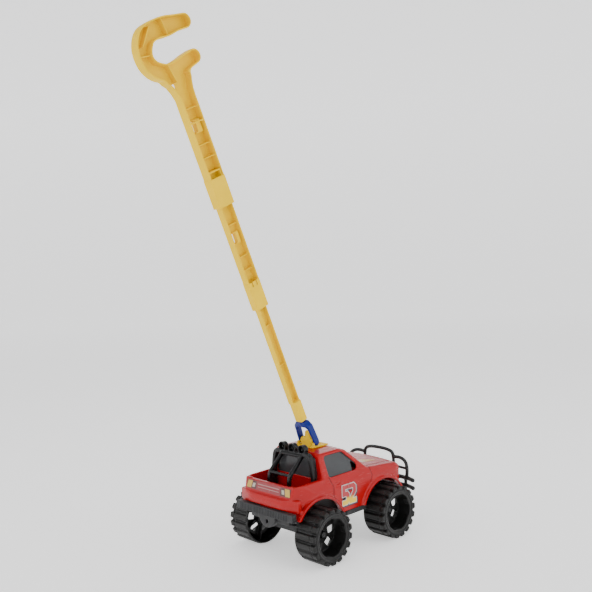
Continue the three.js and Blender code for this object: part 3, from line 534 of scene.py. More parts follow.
def line(finish, along, across, points, width):
    """A mask that is 1 within width of a chain of straight strokes."""
    nearest = None
    for (a0, b0, _), (a1, b1, _) in zip(points, points[1:]):
        run = math.hypot(a1 - a0, b1 - b0)
        ua, ub = (a1 - a0) / run, (b1 - b0) / run
        way = ((along - a0) * ua + (across - b0) * ub).most(0).least(run)
        off_a = along - a0 - way * ua
        off_b = across - b0 - way * ub
        gap = (off_a * off_a + off_b * off_b).root()
        nearest = gap if nearest is None else nearest.least(gap)
    return nearest.fade(width * 1.5, width * 0.5)


red = plastic("glossy red body plastic", (0.4, 0.001, 0.003), 0.22, Specular_IOR_Level=0.3)
# Painted shade: the door, bonnet and scuttle seam grooves are darkened in the red colour, along the grooves
# cut into the shell.
side_seam_shade = line(red, red.x, red.z, door_rear, 0.7).most(line(red, red.x, red.z, door_front, 0.7))
top_seam_shade = line(red, red.x, red.y.size(), bonnet_seam, 0.7).most(
    line(red, red.x, red.y.size(), scuttle_seam, 0.7))
seam_shade = (side_seam_shade * (red.y.size() > 46)).most(top_seam_shade * (red.z > 91))
red.colour = red.blend(red.colour, (0.12, 0.001, 0.003), seam_shade * 0.75)
red_plastic = done(red)
mould("body_shell_moulding", body_field, body_low - 1, body_high + 1.5, 0.9, red_plastic, "truck",
      ["body_shell"])

# ------------------------------------------------------------ cab glazing
# The panes are one smoke-grey styrene moulding pushed up inside the cab. It follows the cab's
# walls just inside them, and the two front quarter lights are left open.
glass = plastic("smoke grey glazing", (0.05, 0.053, 0.056), 0.18, 0.006, 0.85, Specular_IOR_Level=0.3)
glass_low, glass_high = size_of("cab_glazing")


def glazing_field(x, y, z):
    skin = cab_outside(x, y, z) + wall + 0.3
    pane = rounded(skin, -(skin + 1.4), 0.3)
    pane = np.maximum(pane, slab(z, glass_low[2], glass_high[2]))
    quarter = np.maximum(hull(x, z, [
        (9.5, 80, 1), (28.5, 80, 1), (28.5, 96.5, 1), (12, 110, 1), (9.5, 110, 1)]), 30 - abs(y))
    ends = np.minimum(np.maximum(x + 42, 36 - abs(y)), np.maximum(22 - x, 44.5 - abs(y)))
    return np.maximum(np.maximum(pane, -quarter), -ends)


mould("cab_panes", glazing_field, glass_low - 1, glass_high + 1, 0.9, done(glass), "truck",
      ["cab_glazing"])

# ------------------------------------------------------------ chassis pan, tow plate and screws
# A dark grey polypropylene pan closes the body from below: stiffening ribs, axle tubes, a sill along
# each side and a half-round tow plate at the tail. Four pan-head screws run up into the body.
grey = plastic("dark grey trim plastic", (0.03, 0.03, 0.031), 0.42, 0.02, 0.85, Specular_IOR_Level=0.25)
grey_plastic = done(grey)
pan_low, pan_high = size_of("chassis")
pan_half, pan_top, pan_bottom, belly = 35.8, 50.2, 45.7, 43.7
screw_places = [(x, y) for x in (front_x + 26, rear_x - 22) for y in (-21, 21)]


def pan_field(x, y, z):
    reach = abs(y)
    rise = np.maximum(np.maximum(x - 96, -89 - x), 0) * 0.5
    pan = rounded(slab(z - rise, pan_bottom, pan_top), slab(x, tail + 2.3, nose - 2.3), 0.8)
    pan = rounded(pan, reach - pan_half, 0.8)
    upturn = np.minimum(slab(x, nose - 10, nose - 2.3), slab(x, tail + 2.3, tail + 10))
    pan = np.minimum(pan, rounded(rounded(upturn, slab(z, pan_bottom + 3, 58.2), 0.8), reach - pan_half, 0.8))
    sills = block(x, y, z, (-11, -side, belly), (front_x - 37, side, pan_top), 0.9)
    plate = block(x, y, z, (-28, -24, belly), (28, 24, pan_bottom + 1), 0.8)
    tail_strip = block(x, y, z, (tail + 2.3, -49.5, 54.5), (tail + 7, 49.5, 58.2), 0.6)
    tow = rounded(disc(y, z, 0, 57.5, 16), slab(x, tail - 3, tail + 3.5), 1.0)
    tow = rounded(tow, z - 57.6, 0.4)
    tow = rounded(tow, -disc(y, z, 0, 49.5, 2.6), 0.5)
    solid = merged(merged(pan, sills, 1), merged(plate, tail_strip, 0.5), 0.8)
    solid = merged(solid, tow, 0.8)
    panel = np.minimum(
        rounded(slab(reach, 8, 31), slab(x, -40, -32), 1), rounded(slab(reach, 8, 31), slab(x, 32, 46), 1))
    solid = rounded(solid, -np.maximum(panel, z - pan_bottom - 0.9), 0.4)
    for place in (front_x, rear_x):
        saddle = hull(x - place, z, [
            (-6.5, 29.5, 1.2), (6.5, 29.5, 1.2), (8, 47, 1), (-8, 47, 1)])
        solid = merged(solid, rounded(saddle, reach - pan_half, 0.8), 1)
        tube = rounded(disc(x, z, place, axle_z, 5), reach - 50.4, 0.6)
        solid = merged(solid, tube, 0.8)
        solid = np.maximum(solid, -disc(x, z, place, axle_z, 2.3))
    for place_x, place_y in screw_places:
        column = disc(x, y, place_x, place_y, 0)
        solid = np.maximum(solid, -np.maximum(column - 1.8, pan_bottom - 3 - z))
        solid = np.maximum(solid, -np.maximum(column - 3.8, slab(z, pan_bottom - 3, pan_bottom + 2.2)))
    return solid


mould("chassis_pan", pan_field, pan_low - 1, pan_high + 1, 1.0, grey_plastic, "truck",
      ["chassis"])

steel = Finish("zinc-plated steel", 0.32, Metallic=1.0)
turning = steel.node("TexNoise", {}, {
    "Vector": steel.node("Mapping", {}, {"Vector": steel.place, "Scale": (2500, 90, 2500)}),
    "Scale": 1.0, "Detail": 3.0})
dull = steel.noise(160, 3)
steel.colour = steel.blend((0.42, 0.41, 0.39), (0.62, 0.62, 0.61), dull.fade(0.35, 0.65))
steel.gloss = 0.26 + turning * 0.14 + dull * 0.12
steel.relief, steel.grain = turning, 0.01
steel_rod = done(steel)


def screw_field(x, y, z):
    head = rounded(np.hypot(x, y) - 3.3, slab(z, 0, 1.7), 0.8)
    shank = rounded(np.hypot(x, y) - 1.5 + 0.25 * np.cos(2 * math.pi * z / 1.2), slab(z, 1, 13.5), 0.5)
    cross = np.minimum(block(x, y, z, (-2.2, -0.5, -1), (2.2, 0.5, 1.1), 0.1),
                       block(x, y, z, (-0.5, -2.2, -1), (0.5, 2.2, 1.1), 0.1))
    return np.maximum(np.minimum(head, shank), -cross)


screw_points, screw_faces = skin_of(screw_field, (-3.4, -3.4, 0), (3.4, 3.4, 13.6), 0.35)
for place_x, place_y in screw_places:
    end = "front" if place_x > 0 else "rear"
    hand = "left" if place_y > 0 else "right"
    show(f"pan_screw_{end}_{hand}", screw_points + (place_x, place_y, pan_bottom + 0.2), screw_faces,
         steel_rod, "truck", [f"screw_{end}_{hand}"])

# ------------------------------------------------------------ rear bumper
# Grey beam clipped under the tail ledge. Fine upright ribs are moulded across its face, between two
# plain end blocks, and the tow plate shows through a notch in its lower edge.
bumper_grey = plastic("rear bumper grey plastic", (0.03, 0.0305, 0.032), 0.45, 0.02, 0.85,
                      Specular_IOR_Level=0.25)
bumper_low, bumper_high = size_of("rear_bumper")


def bumper_field(x, y, z):
    reach = abs(y)
    beam = rounded(slab(z, bumper_low[2], bumper_high[2]), reach - bumper_high[1], 1.2)
    across = np.mod(y + 1.5, 3.0) - 1.5
    ribs = 0.9 * np.clip((abs(across) - 0.55) / 0.5, 0, 1) * np.clip((45.3 - reach) / 0.4, 0, 1)
    ribs = ribs * np.clip((bumper_high[2] - 0.9 - z) / 0.4, 0, 1)
    beam = rounded(beam, slab(x, bumper_low[0] + ribs, bumper_high[0]), 0.7)
    return np.maximum(beam, -np.maximum(disc(y, z, 0, 57.5, 16.3), slab(x, tail - 4, tail + 1)))


mould("rear_bumper_beam", bumper_field, bumper_low - 0.5, bumper_high + 0.5, 0.5, done(bumper_grey), "truck",
      ["rear_bumper"])

# ------------------------------------------------------------ bull bar
# Grey tubular bar work ahead of the nose, one moulding: a bowed top rail between two posts, a lamp
# hoop on each side, a short lamp rung, and two long bars whose ends wrap back round the wings.
bull_low, bull_high = size_of("bull_bar")
bull_x = bull_high[0] - 3.05
post_y = 27


def bull_curve(points):
    return smooth_way([(*point, 0) for point in points], 3)


bull_curves = [
    bull_curve([(bull_x, 0, z), (bull_x - 0.6, 27, z), (bull_x - 2, 52, z), (bull_x - 7, 65.5, z)])
    for z in (54.2, 65.3)]
bull_curves.append(bull_curve([
    (bull_x - 0.4, 0, 101.8), (bull_x - 0.4, 12, 101.4), (bull_x - 0.6, 23, 99), (bull_x - 1, post_y, 93.5)]))
bull_curves.append(bull_curve([
    (bull_x - 1, post_y, 92), (bull_x - 1.6, 37, 93), (bull_x - 2.6, 46, 91.4), (bull_x - 4, 52, 87),
    (bull_x - 4.6, 54, 79.5), (bull_x - 4.4, 53.5, 71), (bull_x - 4, 52, 65.5)]))
bull_rods = [
    ((bull_x - 1, post_y, 54), (bull_x - 1, post_y, 93.5)),
    ((bull_x - 2, 49, 54), (bull_x - 2, 49, 66)),
    ((nose + 1, post_y, 59.5), (bull_x - 1, post_y, 59.5))]


def bull_field(x, y, z):
    reach = abs(y)
    solid = None
    for number, curve in enumerate(bull_curves):
        limb = None
        for start, end in zip(curve, curve[1:]):
            piece = bar(x, reach, z, start[:3], end[:3], 3.0 if number < 2 else 2.5)
            limb = piece if limb is None else np.minimum(limb, piece)
        solid = limb if solid is None else merged(solid, limb, 1.0)
    for start, end in bull_rods:
        solid = merged(solid, bar(x, reach, z, start, end, 2.3), 1.0)
    rung = bar(x, reach, z, (bull_x - 1, post_y, 79.5), (bull_x - 4.5, 54, 79.5), 1.9)
    foot = rounded(slab(x, nose + 0.4, nose + 2), rounded(slab(reach, 22, 32), slab(z, 54.5, 64), 1.5), 0.5)
    return np.minimum(merged(solid, rung, 0.8), foot)


bull_grey = plastic("bull bar grey plastic", (0.015, 0.0155, 0.016), 0.33, 0.015, 0.85,
                    Specular_IOR_Level=0.3)
mould("bull_bar_tubes", bull_field, bull_low - 1, bull_high + 1, 0.75, done(bull_grey), "truck",
      ["bull_bar"])

# ------------------------------------------------------------ roll bar
# Black bar that stands in the bed on four feet: a deep hoop behind the cab, two raked legs joined by
# two cross bars, and three lamp cans on top, open at the back.
black = plastic("black trim plastic", (0.006, 0.006, 0.0065), 0.28, 0.015, 0.8, Specular_IOR_Level=0.3)
black_plastic = done(black)
roll_low, roll_high = size_of("roll_bar")
hoop_x = (-57.0, -50.3)
hoop_way = smooth_way([
    (37.6, 71, 2.9), (37.4, 84, 2.9), (36.6, 104, 2.8), (34.4, 118, 2.9), (32, 125, 3.1), (27, 128.2, 2.9),
    (15, 128, 2.4), (0, 128, 2.4)], 3)
leg_way = smooth_way([
    (-79.5, 71, 2.6), (-79.6, 86, 2.7), (-79.4, 98, 2.9), (-76.6, 105.5, 2.9), (-68, 113.5, 2.7),
    (-60, 121, 2.7), (-55, 126.5, 2.9)], 3)
can_z, can_pitch, can_radius = 134.1, 18.4, 6.3


def roll_field(x, y, z):
    reach = abs(y)
    hoop = rounded(chain(reach, z, hoop_way), slab(x, *hoop_x), 1.2)
    legs = rounded(chain(x, z, leg_way), slab(reach, 16.4, 20.6), 1.1)
    solid = merged(hoop, legs, 1.0)
    solid = merged(solid, bar(x, reach, z, (-57.4, 0, 126.4), (-57.4, 18, 126.4), 2.1), 1.0)
    solid = merged(solid, bar(x, reach, z, (-78, 0, 105), (-78, 18, 105), 2.0), 1.0)
    for centre in (0, can_pitch):
        away = disc(reach, z, centre, can_z, 0)
        can = rounded(away - can_radius + 0.02 * (x + 52) ** 2 * (x > -52), slab(x, -56.2, -48.5), 0.7)
        rim = rounded(away - can_radius - 0.35, slab(x, -56.4, -54.9), 0.5)
        foot = rounded(slab(reach, centre - 2.2, centre + 2.2), rounded(
            slab(x, -55.5, -51), slab(z, 126, 130), 0.6), 0.6)
        bowl = np.maximum(away - can_radius + 1.2 + 0.12 * (x + 56.4), x + 51)
        pip = rounded(away - 1.4, slab(x, -55, -50), 0.6)
        can = np.minimum(rounded(np.minimum(can, rim), -bowl, 0.4), pip)
        solid = merged(solid, np.minimum(can, foot), 0.6)
    return np.maximum(solid, 72.2 - z)


mould("roll_bar_moulding", roll_field, roll_low - 1, roll_high + 1, 0.7, black_plastic, "truck",
      ["roll_bar"])

# ------------------------------------------------------------ axles
# Two 4 mm zinc-plated steel rods with chamfered ends, held still in the pan's tubes.


def lathe(profile, sides):
    """Points and faces of (radius, height) corners turned about the height axis."""
    points, faces = [], []
    rings = []
    for radius, height in profile:
        rings.append([len(points) + i for i in range(sides if radius > 0 else 1)])
        for i in range(len(rings[-1])):
            angle = 2 * math.pi * i / sides
            points.append((radius * math.cos(angle), radius * math.sin(angle), height))
    for low, high in zip(rings, rings[1:]):
        for i in range(sides):
            j = i + 1
            face = [low[i % len(low)], low[j % len(low)], high[j % len(high)], high[i % len(high)]]
            faces.append([v for n, v in enumerate(face) if v not in face[:n]])
    return np.array(points), faces


axle_reach = middle("axle_cap_front_left").y / MM - 0.4
rod_points, rod_faces = lathe([
    (0, -axle_reach), (1.5, -axle_reach), (2, 0.6 - axle_reach), (2, -40), (2, 0), (2, 40),
    (2, axle_reach - 0.6), (1.5, axle_reach), (0, axle_reach)], 32)
for end, place in (("front", front_x), ("rear", rear_x)):
    points = np.stack([place + rod_points[:, 0], rod_points[:, 2], axle_z - rod_points[:, 1]], 1)
    show(f"{end}_axle_rod", points, rod_faces, steel_rod, "truck", [f"{end}_axle"], 30)

# ------------------------------------------------------------ wheels
# Each wheel is one hollow black moulding: a thin lugged drum, a deep dish with a ring moulded round
# its mouth, and a web with six square windows and six thin ribs between hub and drum.
wheel_width = 34.8
window_turn = 12.0


def turns(angle, count, first=0.0):
    """The angle from the nearest of count equal places round the wheel, in radians."""
    step = 2 * math.pi / count
    return np.mod(angle - math.radians(first) + step / 2, step) - step / 2


def wheel_field(a, b, w):
    radius = np.hypot(a, b)
    angle = np.arctan2(b, a)
    lug_turn = turns(angle, 18, 90)
    rise, across = radius * np.cos(lug_turn), abs(radius * np.sin(lug_turn))
    drum = rounded(radius - 32.7, slab(w, 0.4, 27.4), 0.5)
    drum = np.minimum(drum, rounded(radius - 31.4, slab(w, 25, 34), 1.2))
    rim = rounded(radius - 34.2, slab(w, 0, 3), 0.9)
    lug = rounded(rise - 35, across - 3.2 - 0.35 * (35 - rise), 0.7)
    lug = rounded(lug, slab(w, 1.5, 26.3), 0.9)
    rib = rounded(rise - 33.3, abs(across - 6.05) - 0.35, 0.3)
    rib = rounded(rib, slab(w, 2, 25.5), 0.3)
    knob = rounded(rise - 35, across - 3.5 - 0.25 * (35 - rise), 1.3)
    knob = rounded(rounded(knob, slab(w, 26.9, wheel_width), 1.3), 26.5 - radius, 0.5)
    drum = merged(merged(drum, rim, 0.5), np.minimum(lug, rib), 0.5)
    drum = merged(drum, knob, 0.8)
    bowl = 32.6 - 2 * np.clip(w / 5, 0, 1) - 1.5 * np.clip((w - 25.8) / 6, 0, 1)
    pocket = np.maximum(radius - bowl, w - np.where(radius > 25.6, 31.8, 12.8))
    solid = rounded(drum, -pocket, 0.5)
    dish = np.maximum(radius - 22.3 - 0.085 * (w - 14.8), 14.8 - w)
    solid = rounded(solid, -dish, 0.9)
    ring = rounded(abs(radius - 28.6) - 1.3, slab(w, 32, 34.7), 0.9)
    face = np.maximum(slab(radius, 23.0, 31), slab(w, 33.8, 40))
    solid = merged(rounded(solid, -face, 0.4), ring, 0.4)
    hub = rounded(radius - np.where(w < 14, 9.3, 7.6), slab(w, 6.2, 15.4), 0.6)
    solid = merged(solid, hub, 0.8)
    rib_turn = turns(angle, 6, window_turn + 30)
    fins = np.maximum(abs(radius * np.sin(rib_turn)) - 0.7, slab(radius, 8, 31.5))
    fins = np.maximum(np.maximum(fins, slab(w, 6.3, 13.3)), -radius * np.cos(rib_turn))
    solid = merged(solid, fins, 0.4)
    pad_turn = turns(angle, 6, window_turn)
    pads = rounded(abs(radius * np.sin(pad_turn)) - 4.5, slab(w, 26, 33.2), 0.8)
    pads = np.maximum(rounded(pads, 22.9 - radius, 0.5), radius - 26)
    solid = merged(solid, pads, 0.3)
    window = rounded(abs(radius * np.sin(pad_turn)) - 4.5, slab(radius * np.cos(pad_turn), 10.5, 21.5), 1.0)
    solid = rounded(solid, -np.maximum(window, slab(w, 8, 18)), 0.3)
    return np.maximum(solid, 2.3 - radius)


def wheel_finish(name, place):
    """Satin black with a brown cast: dusty lug tops, painted shade in the grooves between the lugs, fine
    moulded grain.
    """
    tyre = plastic(name, (0.007, 0.0068, 0.0066), 0.38, 0.02, 0.8, Specular_IOR_Level=0.25)
    off_x, off_z = tyre.x - place, tyre.z - axle_z
    radius = (off_x * off_x + off_z * off_z).root()
    worn = radius.fade(34.2, 34.9) * tyre.noise(420, 4).fade(0.4, 0.65)
    tyre.colour = tyre.blend(tyre.colour, (0.028, 0.027, 0.026), worn * 0.6)
    # Painted shade: the tread grooves between the lugs are darkened in the colour.
    groove = radius.fade(33.4, 32.4) * (radius > 31.8)
    tyre.colour = tyre.blend(tyre.colour, (0.005, 0.005, 0.005), groove * 0.6)
    tyre.gloss = tyre.gloss + worn * 0.2
    return done(tyre)


wheel_points, wheel_faces = skin_of(wheel_field, (-35.3, -35.3, 0), (35.3, 35.3, wheel_width), 0.7)
wheel_inner = middle("wheel_front_left").y / MM - wheel_width / 2
cap_profile = [
    (0, 4.2), (2.2, 4.15), (3.6, 3.8), (4.6, 3.1), (5.1, 2.1), (5.2, 0.6), (5.0, 0.3), (2.3, 0.3),
    (2.3, 2.9), (0, 2.9)]
cap_points, cap_faces = lathe(cap_profile[::-1], 48)
for end, place, rolled in (("front", front_x, math.radians(12)), ("rear", rear_x, 0.0)):
    tyre_plastic = wheel_finish(f"{end} wheel plastic", place)
    for hand, way in (("left", 1), ("right", -1)):
        turn_by = -way * rolled
        a = wheel_points[:, 0] * math.cos(turn_by) - wheel_points[:, 1] * math.sin(turn_by)
        b = wheel_points[:, 0] * math.sin(turn_by) + wheel_points[:, 1] * math.cos(turn_by)
        points = np.stack([place + a, way * (wheel_inner + wheel_points[:, 2]), axle_z - way * b], 1)
        show(f"wheel_{end}_{hand}_moulding", points, wheel_faces, tyre_plastic, f"turning_{end}_{hand}",
             [f"wheel_{end}_{hand}"])
        hub_face = wheel_inner + 15.5
        points = np.stack([place + cap_points[:, 0], way * (hub_face + cap_points[:, 2]),
                           axle_z - way * cap_points[:, 1]], 1)
        show(f"axle_cap_{end}_{hand}_dome", points, cap_faces, black_plastic, "truck",
             [f"axle_cap_{end}_{hand}"], 40)

# ------------------------------------------------------------ roof bracket
# Yellow foot pegged through the roof: spreading base plates, a block with a rounded fin on top, a
# round boss on each side for the clevis studs, and two heel stops that the clevis leans back on.
yellow = plastic("yellow polypropylene", (0.86, 0.54, 0.0), 0.4, 0.012, 0.92, Specular_IOR_Level=0.12)
bracket_low, bracket_high = size_of("roof_bracket")
pivot_x, pivot_z = -23.0, 138.0
foot_z = roof + 0.1


def bracket_field(x, y, z):
    reach, fore = abs(y), x - pivot_x
    base = block(x, y, z, (pivot_x - 7, -17, foot_z), (pivot_x + 20, 17, foot_z + 2), 0.9)
    toe = block(x, y, z, (pivot_x - 10.2, -15.3, foot_z), (pivot_x - 6, 15.3, foot_z + 1.6), 0.7)
    base = merged(base, toe, 0.8)
    step = block(x, y, z, (pivot_x - 4, -10, foot_z), (pivot_x + 13, 10, foot_z + 3.4), 1.0)
    post = rounded(hull(fore, z, [
        (-6.5, foot_z, 1), (8, foot_z, 1), (5.5, pivot_z + 5.5, 1.5), (-5.5, pivot_z + 5.5, 1.5)]),
        reach - 8, 1.2)
    fin = rounded(hull(fore, z, [
        (-5, pivot_z, 1), (5, pivot_z, 1), (3, pivot_z + 14, 2.6), (-3, pivot_z + 14, 2.6)]),
        reach - 4.5, 1.2)
    boss = rounded(disc(x, z, pivot_x, pivot_z, 5.5), reach - 11.3, 0.8)
    heel = rounded(hull(fore, z, [
        (-9.6, foot_z + 1, 0.5), (-2.9, foot_z + 1, 0.5), (-5.3, pivot_z, 0.6), (-7.4, pivot_z, 0.8)]),
        slab(reach, 12.4, 15.2), 0.6)
    solid = merged(merged(base, step, 0.8), merged(post, fin, 1.5), 1.5)
    solid = merged(merged(solid, boss, 0.8), heel, 0.6)
    for peg_x in (pivot_x - 7, pivot_x + 8):
        solid = np.minimum(solid, np.maximum(disc(x, y, peg_x, 0, 2.5), slab(z, bracket_low[2], foot_z + 1)))
    return np.maximum(solid, 3.1 - disc(x, z, pivot_x, pivot_z, 0))


yellow_plastic = done(yellow)
mould("roof_bracket_moulding", bracket_field, bracket_low - 0.5, bracket_high + 0.5, 0.6, yellow_plastic,
      "truck", ["roof_bracket"])

# ------------------------------------------------------------ clevis
# Deep blue acetal strap arched over the bracket. Round studs inside its arms snap into the bosses,
# and a round stem on top is captive in the pole's neck, so the pole can be laid down.
blue = plastic("deep blue acetal", (0.002, 0.014, 0.2), 0.3, 0.008, 0.85, Specular_IOR_Level=0.25)
lean = math.radians(22.3)
stem_top = 51.5


def leant(points):
    """From the pole's own (across, side, along) to the truck's (x, y, z)."""
    across, left, along_pole = points.T
    return np.stack([pivot_x + across * math.cos(lean) - along_pole * math.sin(lean), left,
                     pivot_z + across * math.sin(lean) + along_pole * math.cos(lean)], 1)


def clevis_field(s, y, d):
    reach = abs(y)
    outer = hull(reach, d, [
        (-20, -6, 1), (15.3, -6, 1), (15.3, 5, 12), (13.4, 25.2, 5), (8, 31.3, 4), (-20, 31.3, 1)])
    inner = hull(reach, d, [
        (-20, -20, 1), (12.3, -20, 1), (12.3, 5, 8), (10.4, 20.8, 3), (6, 23.7, 3), (-20, 23.7, 1)])
    strap = rounded(outer, -inner, 0.7)
    strap = rounded(strap, np.maximum(abs(s), np.hypot(s, np.minimum(d, 0))) - 4.5, 0.8)
    stud = rounded(np.hypot(s, d) - 2.8, slab(reach, 5.5, 13.5), 0.6)
    pad = rounded(np.hypot(s, d) - 3.6, slab(reach, 15, 15.7), 0.4)
    stem = rounded(np.hypot(s, y) - 4, slab(d, 27, stem_top), 1.0)
    collar = rounded(np.hypot(s, y) - 5.4, slab(d, 30.4, 32.1), 0.5)
    return np.minimum(merged(merged(strap, stem, 1.5), stud, 0.6), np.minimum(pad, collar))


mould("clevis_strap", clevis_field, (-5.5, -16, -5), (5.5, 16, 52), 0.55, done(blue), "pole",
      ["clevis"], leant)

# ------------------------------------------------------------ pole
# Three yellow polypropylene channels, open on the truck's right. Each plugs into a sleeve on the
# next, and the last carries the C grip, whose strap is the same channel bent round with cross ribs.
pole_side, web_wall = 1.8, 1.8
pole_cell = 0.65
lower_pole, middle_pole, upper_pole = (13.5, 8.5), (19.5, 10.5), (23.0, 13.0)


def sides(depth):
    return pole_side - depth / 2, pole_side + depth / 2


def channel(s, y, d, size, low, high):
    right, left = sides(size[1])
    tray = rounded(rounded(abs(s) - size[0] / 2, slab(d, low, high), 0.8), slab(y, right, left), 0.8)
    hollow = rounded(rounded(abs(s) - size[0] / 2 + web_wall, slab(d, low + web_wall, high - web_wall), 0.8),
                     y - left + web_wall, 0.6)
    return rounded(tray, -hollow, 0.4)


def brace(s, y, d, size, at):
    right, left = sides(size[1])
    return np.maximum(np.maximum(abs(d - at) - 0.6, abs(s) - size[0] / 2 + 1), slab(y, right + 2.6, left - 1))


def sleeve(s, y, d, size, low, high, proud):
    right, left = sides(size[1])
    return rounded(rounded(abs(s) - size[0] / 2 - proud, slab(d, low, high), 0.9),
                   slab(y, right - proud, left + proud), 0.9)


def sleeve_hole(s, y, d, inner, low, high):
    right, left = sides(inner[1] + 0.6)
    return np.maximum(np.maximum(abs(s) - inner[0] / 2 - 0.3, slab(d, low, high)), slab(y, right, left))


def slot(s, y, d, centre, low, high, wide=5.5):
    return np.maximum(rounded(abs(s - centre) - wide / 2, slab(d, low, high), 1.0), -2 - y)


def lower_field(s, y, d):
    neck = rounded(rounded(abs(s) - 5.8, abs(y) - 6.3, 1.8), slab(d, 32.5, 62), 1.0)
    solid = merged(neck, channel(s, y, d, lower_pole, 60, 232), 0.6)
    for at in (116, 173):
        solid = merged(solid, brace(s, y, d, lower_pole, at), 0.3)
    for at in (95, 146, 192):
        solid = merged(solid, rounded(np.hypot(s, d - at) - 2.1, slab(y, 3.0, 4.8), 0.3), 0.3)
    return np.maximum(solid, -np.maximum(np.hypot(s, y) - 4.3, d - stem_top - 0.3))


def middle_field(s, y, d):
    right, left = sides(middle_pole[1])
    solid = channel(s, y, d, middle_pole, 208.5, 381)
    solid = merged(solid, sleeve(s, y, d, middle_pole, 198.5, 236, 0.3), 0.5)
    pad = rounded(rounded(slab(s, -3, 6), slab(d, 287, 302), 1), slab(y, right + 4, left - 1), 0.6)
    solid = merged(solid, pad, 0.4)
    solid = merged(solid, rounded(rounded(slab(s, -7.5, 1.5), slab(d, 336.5, 345), 0.8),
                                  slab(y, right + 5.5, left - 1), 0.5), 0.3)
    for at in (252, 270, 312):
        solid = merged(solid, brace(s, y, d, middle_pole, at), 0.3)
    solid = rounded(solid, -sleeve_hole(s, y, d, lower_pole, 197, 237), 0.3)
    for place in (-3.6, 3.6):
        snap = np.maximum(abs(s - place) - 0.6, slab(d, 229, 240))
        solid = np.maximum(solid, -np.maximum(snap, y - right - 2))
    solid = rounded(solid, -slot(s, y, d, -2, 288.5, 300.5), 0.4)
    return rounded(solid, -slot(s, y, d, -5, 318.5, 333), 0.4)


grip_way = smooth_way([
    (33, 551.4, 8.7), (20, 551.9, 9.4), (3, 551.6, 11.5), (-13, 551, 10.8), (-26, 547, 10.8),
    (-34, 537, 10.4), (-36.6, 526, 9.45), (-34, 515.5, 9.5), (-26, 507.5, 10), (-12, 502.6, 9.9),
    (5, 504.6, 9.6), (18, 508.4, 9), (29.5, 511, 8.7)], 5)
throat_way = [(0, 440, 11.5), (0, 470, 11.5), (-1, 479, 13), (-2, 487, 15.7), (-3.5, 492, 19)]


def throat(s, d):
    """Distance outside the neck that flares into the grip."""
    along_way = [p[1] for p in throat_way]
    centre = np.interp(d, along_way, [p[0] for p in throat_way])
    reach = np.interp(d, along_way, [p[2] for p in throat_way])
    return np.maximum(abs(s - centre) - reach, slab(d, 440, 497))


def handle_field(s, y, d):
    right, left = sides(upper_pole[1])
    grip = chain(s, d, grip_way)
    outline = merged(grip, throat(s, d), 4)
    strap = rounded(outline, slab(y, right, left), 1.1)
    strap = rounded(strap, -rounded(outline + web_wall, y - left + web_wall, 0.6), 0.5)
    ribs = None
    for place, level_at, slope in ((3, 551.5, 83), (-36, 527, 5), (-9, 502.5, 78), (-26, 547, -48)):
        tip = math.radians(slope)
        off = abs((s - place) * math.sin(tip) + (d - level_at) * math.cos(tip)) - 0.6
        near = np.hypot(s - place, d - level_at) - 13
        rib = np.maximum(np.maximum(off, near), np.maximum(outline + 1, slab(y, right + 2.6, left - 1)))
        ribs = rib if ribs is None else np.minimum(ribs, rib)
    solid = merged(strap, ribs, 0.3)
    solid = merged(solid, channel(s, y, d, upper_pole, 346, 466), 0.2)
    solid = merged(solid, sleeve(s, y, d, upper_pole, 336, 372.5, 0.5), 0.5)
    open_run = rounded(abs(s) - upper_pole[0] / 2 + web_wall, y - left + web_wall, 0.6)
    solid = np.maximum(solid, -np.maximum(open_run, slab(d, 450, 470)))
    pad = rounded(rounded(slab(s, -4, 8), slab(d, 428, 444), 1), slab(y, right + 5, left - 1), 0.6)
    solid = merged(solid, pad, 0.4)
    for at in (398, 414, 458):
        solid = merged(solid, brace(s, y, d, upper_pole, at), 0.3)
    solid = rounded(solid, -sleeve_hole(s, y, d, middle_pole, 335, 381.3), 0.3)
    solid = rounded(solid, -slot(s, y, d, -2.5, 429.5, 443), 0.4)
    return rounded(solid, -slot(s, y, d, -7, 475, 489, 4), 0.4)


pole_plastic = done(plastic("yellow pole plastic", (0.9, 0.58, 0.0), 0.4, 0.015, 0.92,
                            Specular_IOR_Level=0.12))
for name, node, field, low, high in (
        ("lower", "pole_lower", lower_field, (-7.5, -7, 32), (7.5, 7, 232.5)),
        ("middle", "pole_middle", middle_field, (-10.5, -4.5, 198), (10.5, 8, 381.5)),
        ("handle", "pole_handle", handle_field, (-48.5, -5.5, 335.5), (43.5, 9.2, 564.5))):
    mould(f"pole_{name}_channel", field, low, high, pole_cell, pole_plastic, "pole",
          [node], leant)

# ------------------------------------------------------------ labels
# Die-cut printed vinyl: a lamp panel across the tailgate, a race number on each door in stacked
# colours, and a flash on the bonnet.


def prism(outline, put, low, high):
    """A flat shape (u, v) given thickness between two heights; put places (u, v, height)."""
    count = len(outline)
    points = np.array([put(u, v, height) for height in (low, high) for u, v in outline])
    faces = [list(range(count))[::-1], list(range(count, 2 * count))]
    faces += [[i, (i + 1) % count, count + (i + 1) % count, count + i] for i in range(count)]
    return points, faces


def grown(outline, distance):
    """An anticlockwise outline with every edge moved outwards."""
    moved = []
    for before, here, after in zip([outline[-1], *outline[:-1]], outline, [*outline[1:], outline[0]]):
        first, second = np.subtract(here, before), np.subtract(after, here)
        first, second = first / np.hypot(*first), second / np.hypot(*second)
        out = np.array([first[1] + second[1], -first[0] - second[0]])
        scale = distance / (1 + first @ second)
        moved.append(tuple(np.array(here) + out * scale))
    return moved


def print_finish(name, roughness=0.3):
    finish = Finish(name, roughness, 0.25)
    haze = finish.noise(220, 3)
    dots = finish.noise(3500, 1)
    finish.gloss = roughness + (haze - 0.5) * 0.12
    finish.relief, finish.grain = haze * 0.6 + dots * 0.4, 0.006
    finish.haze = haze
    return finish


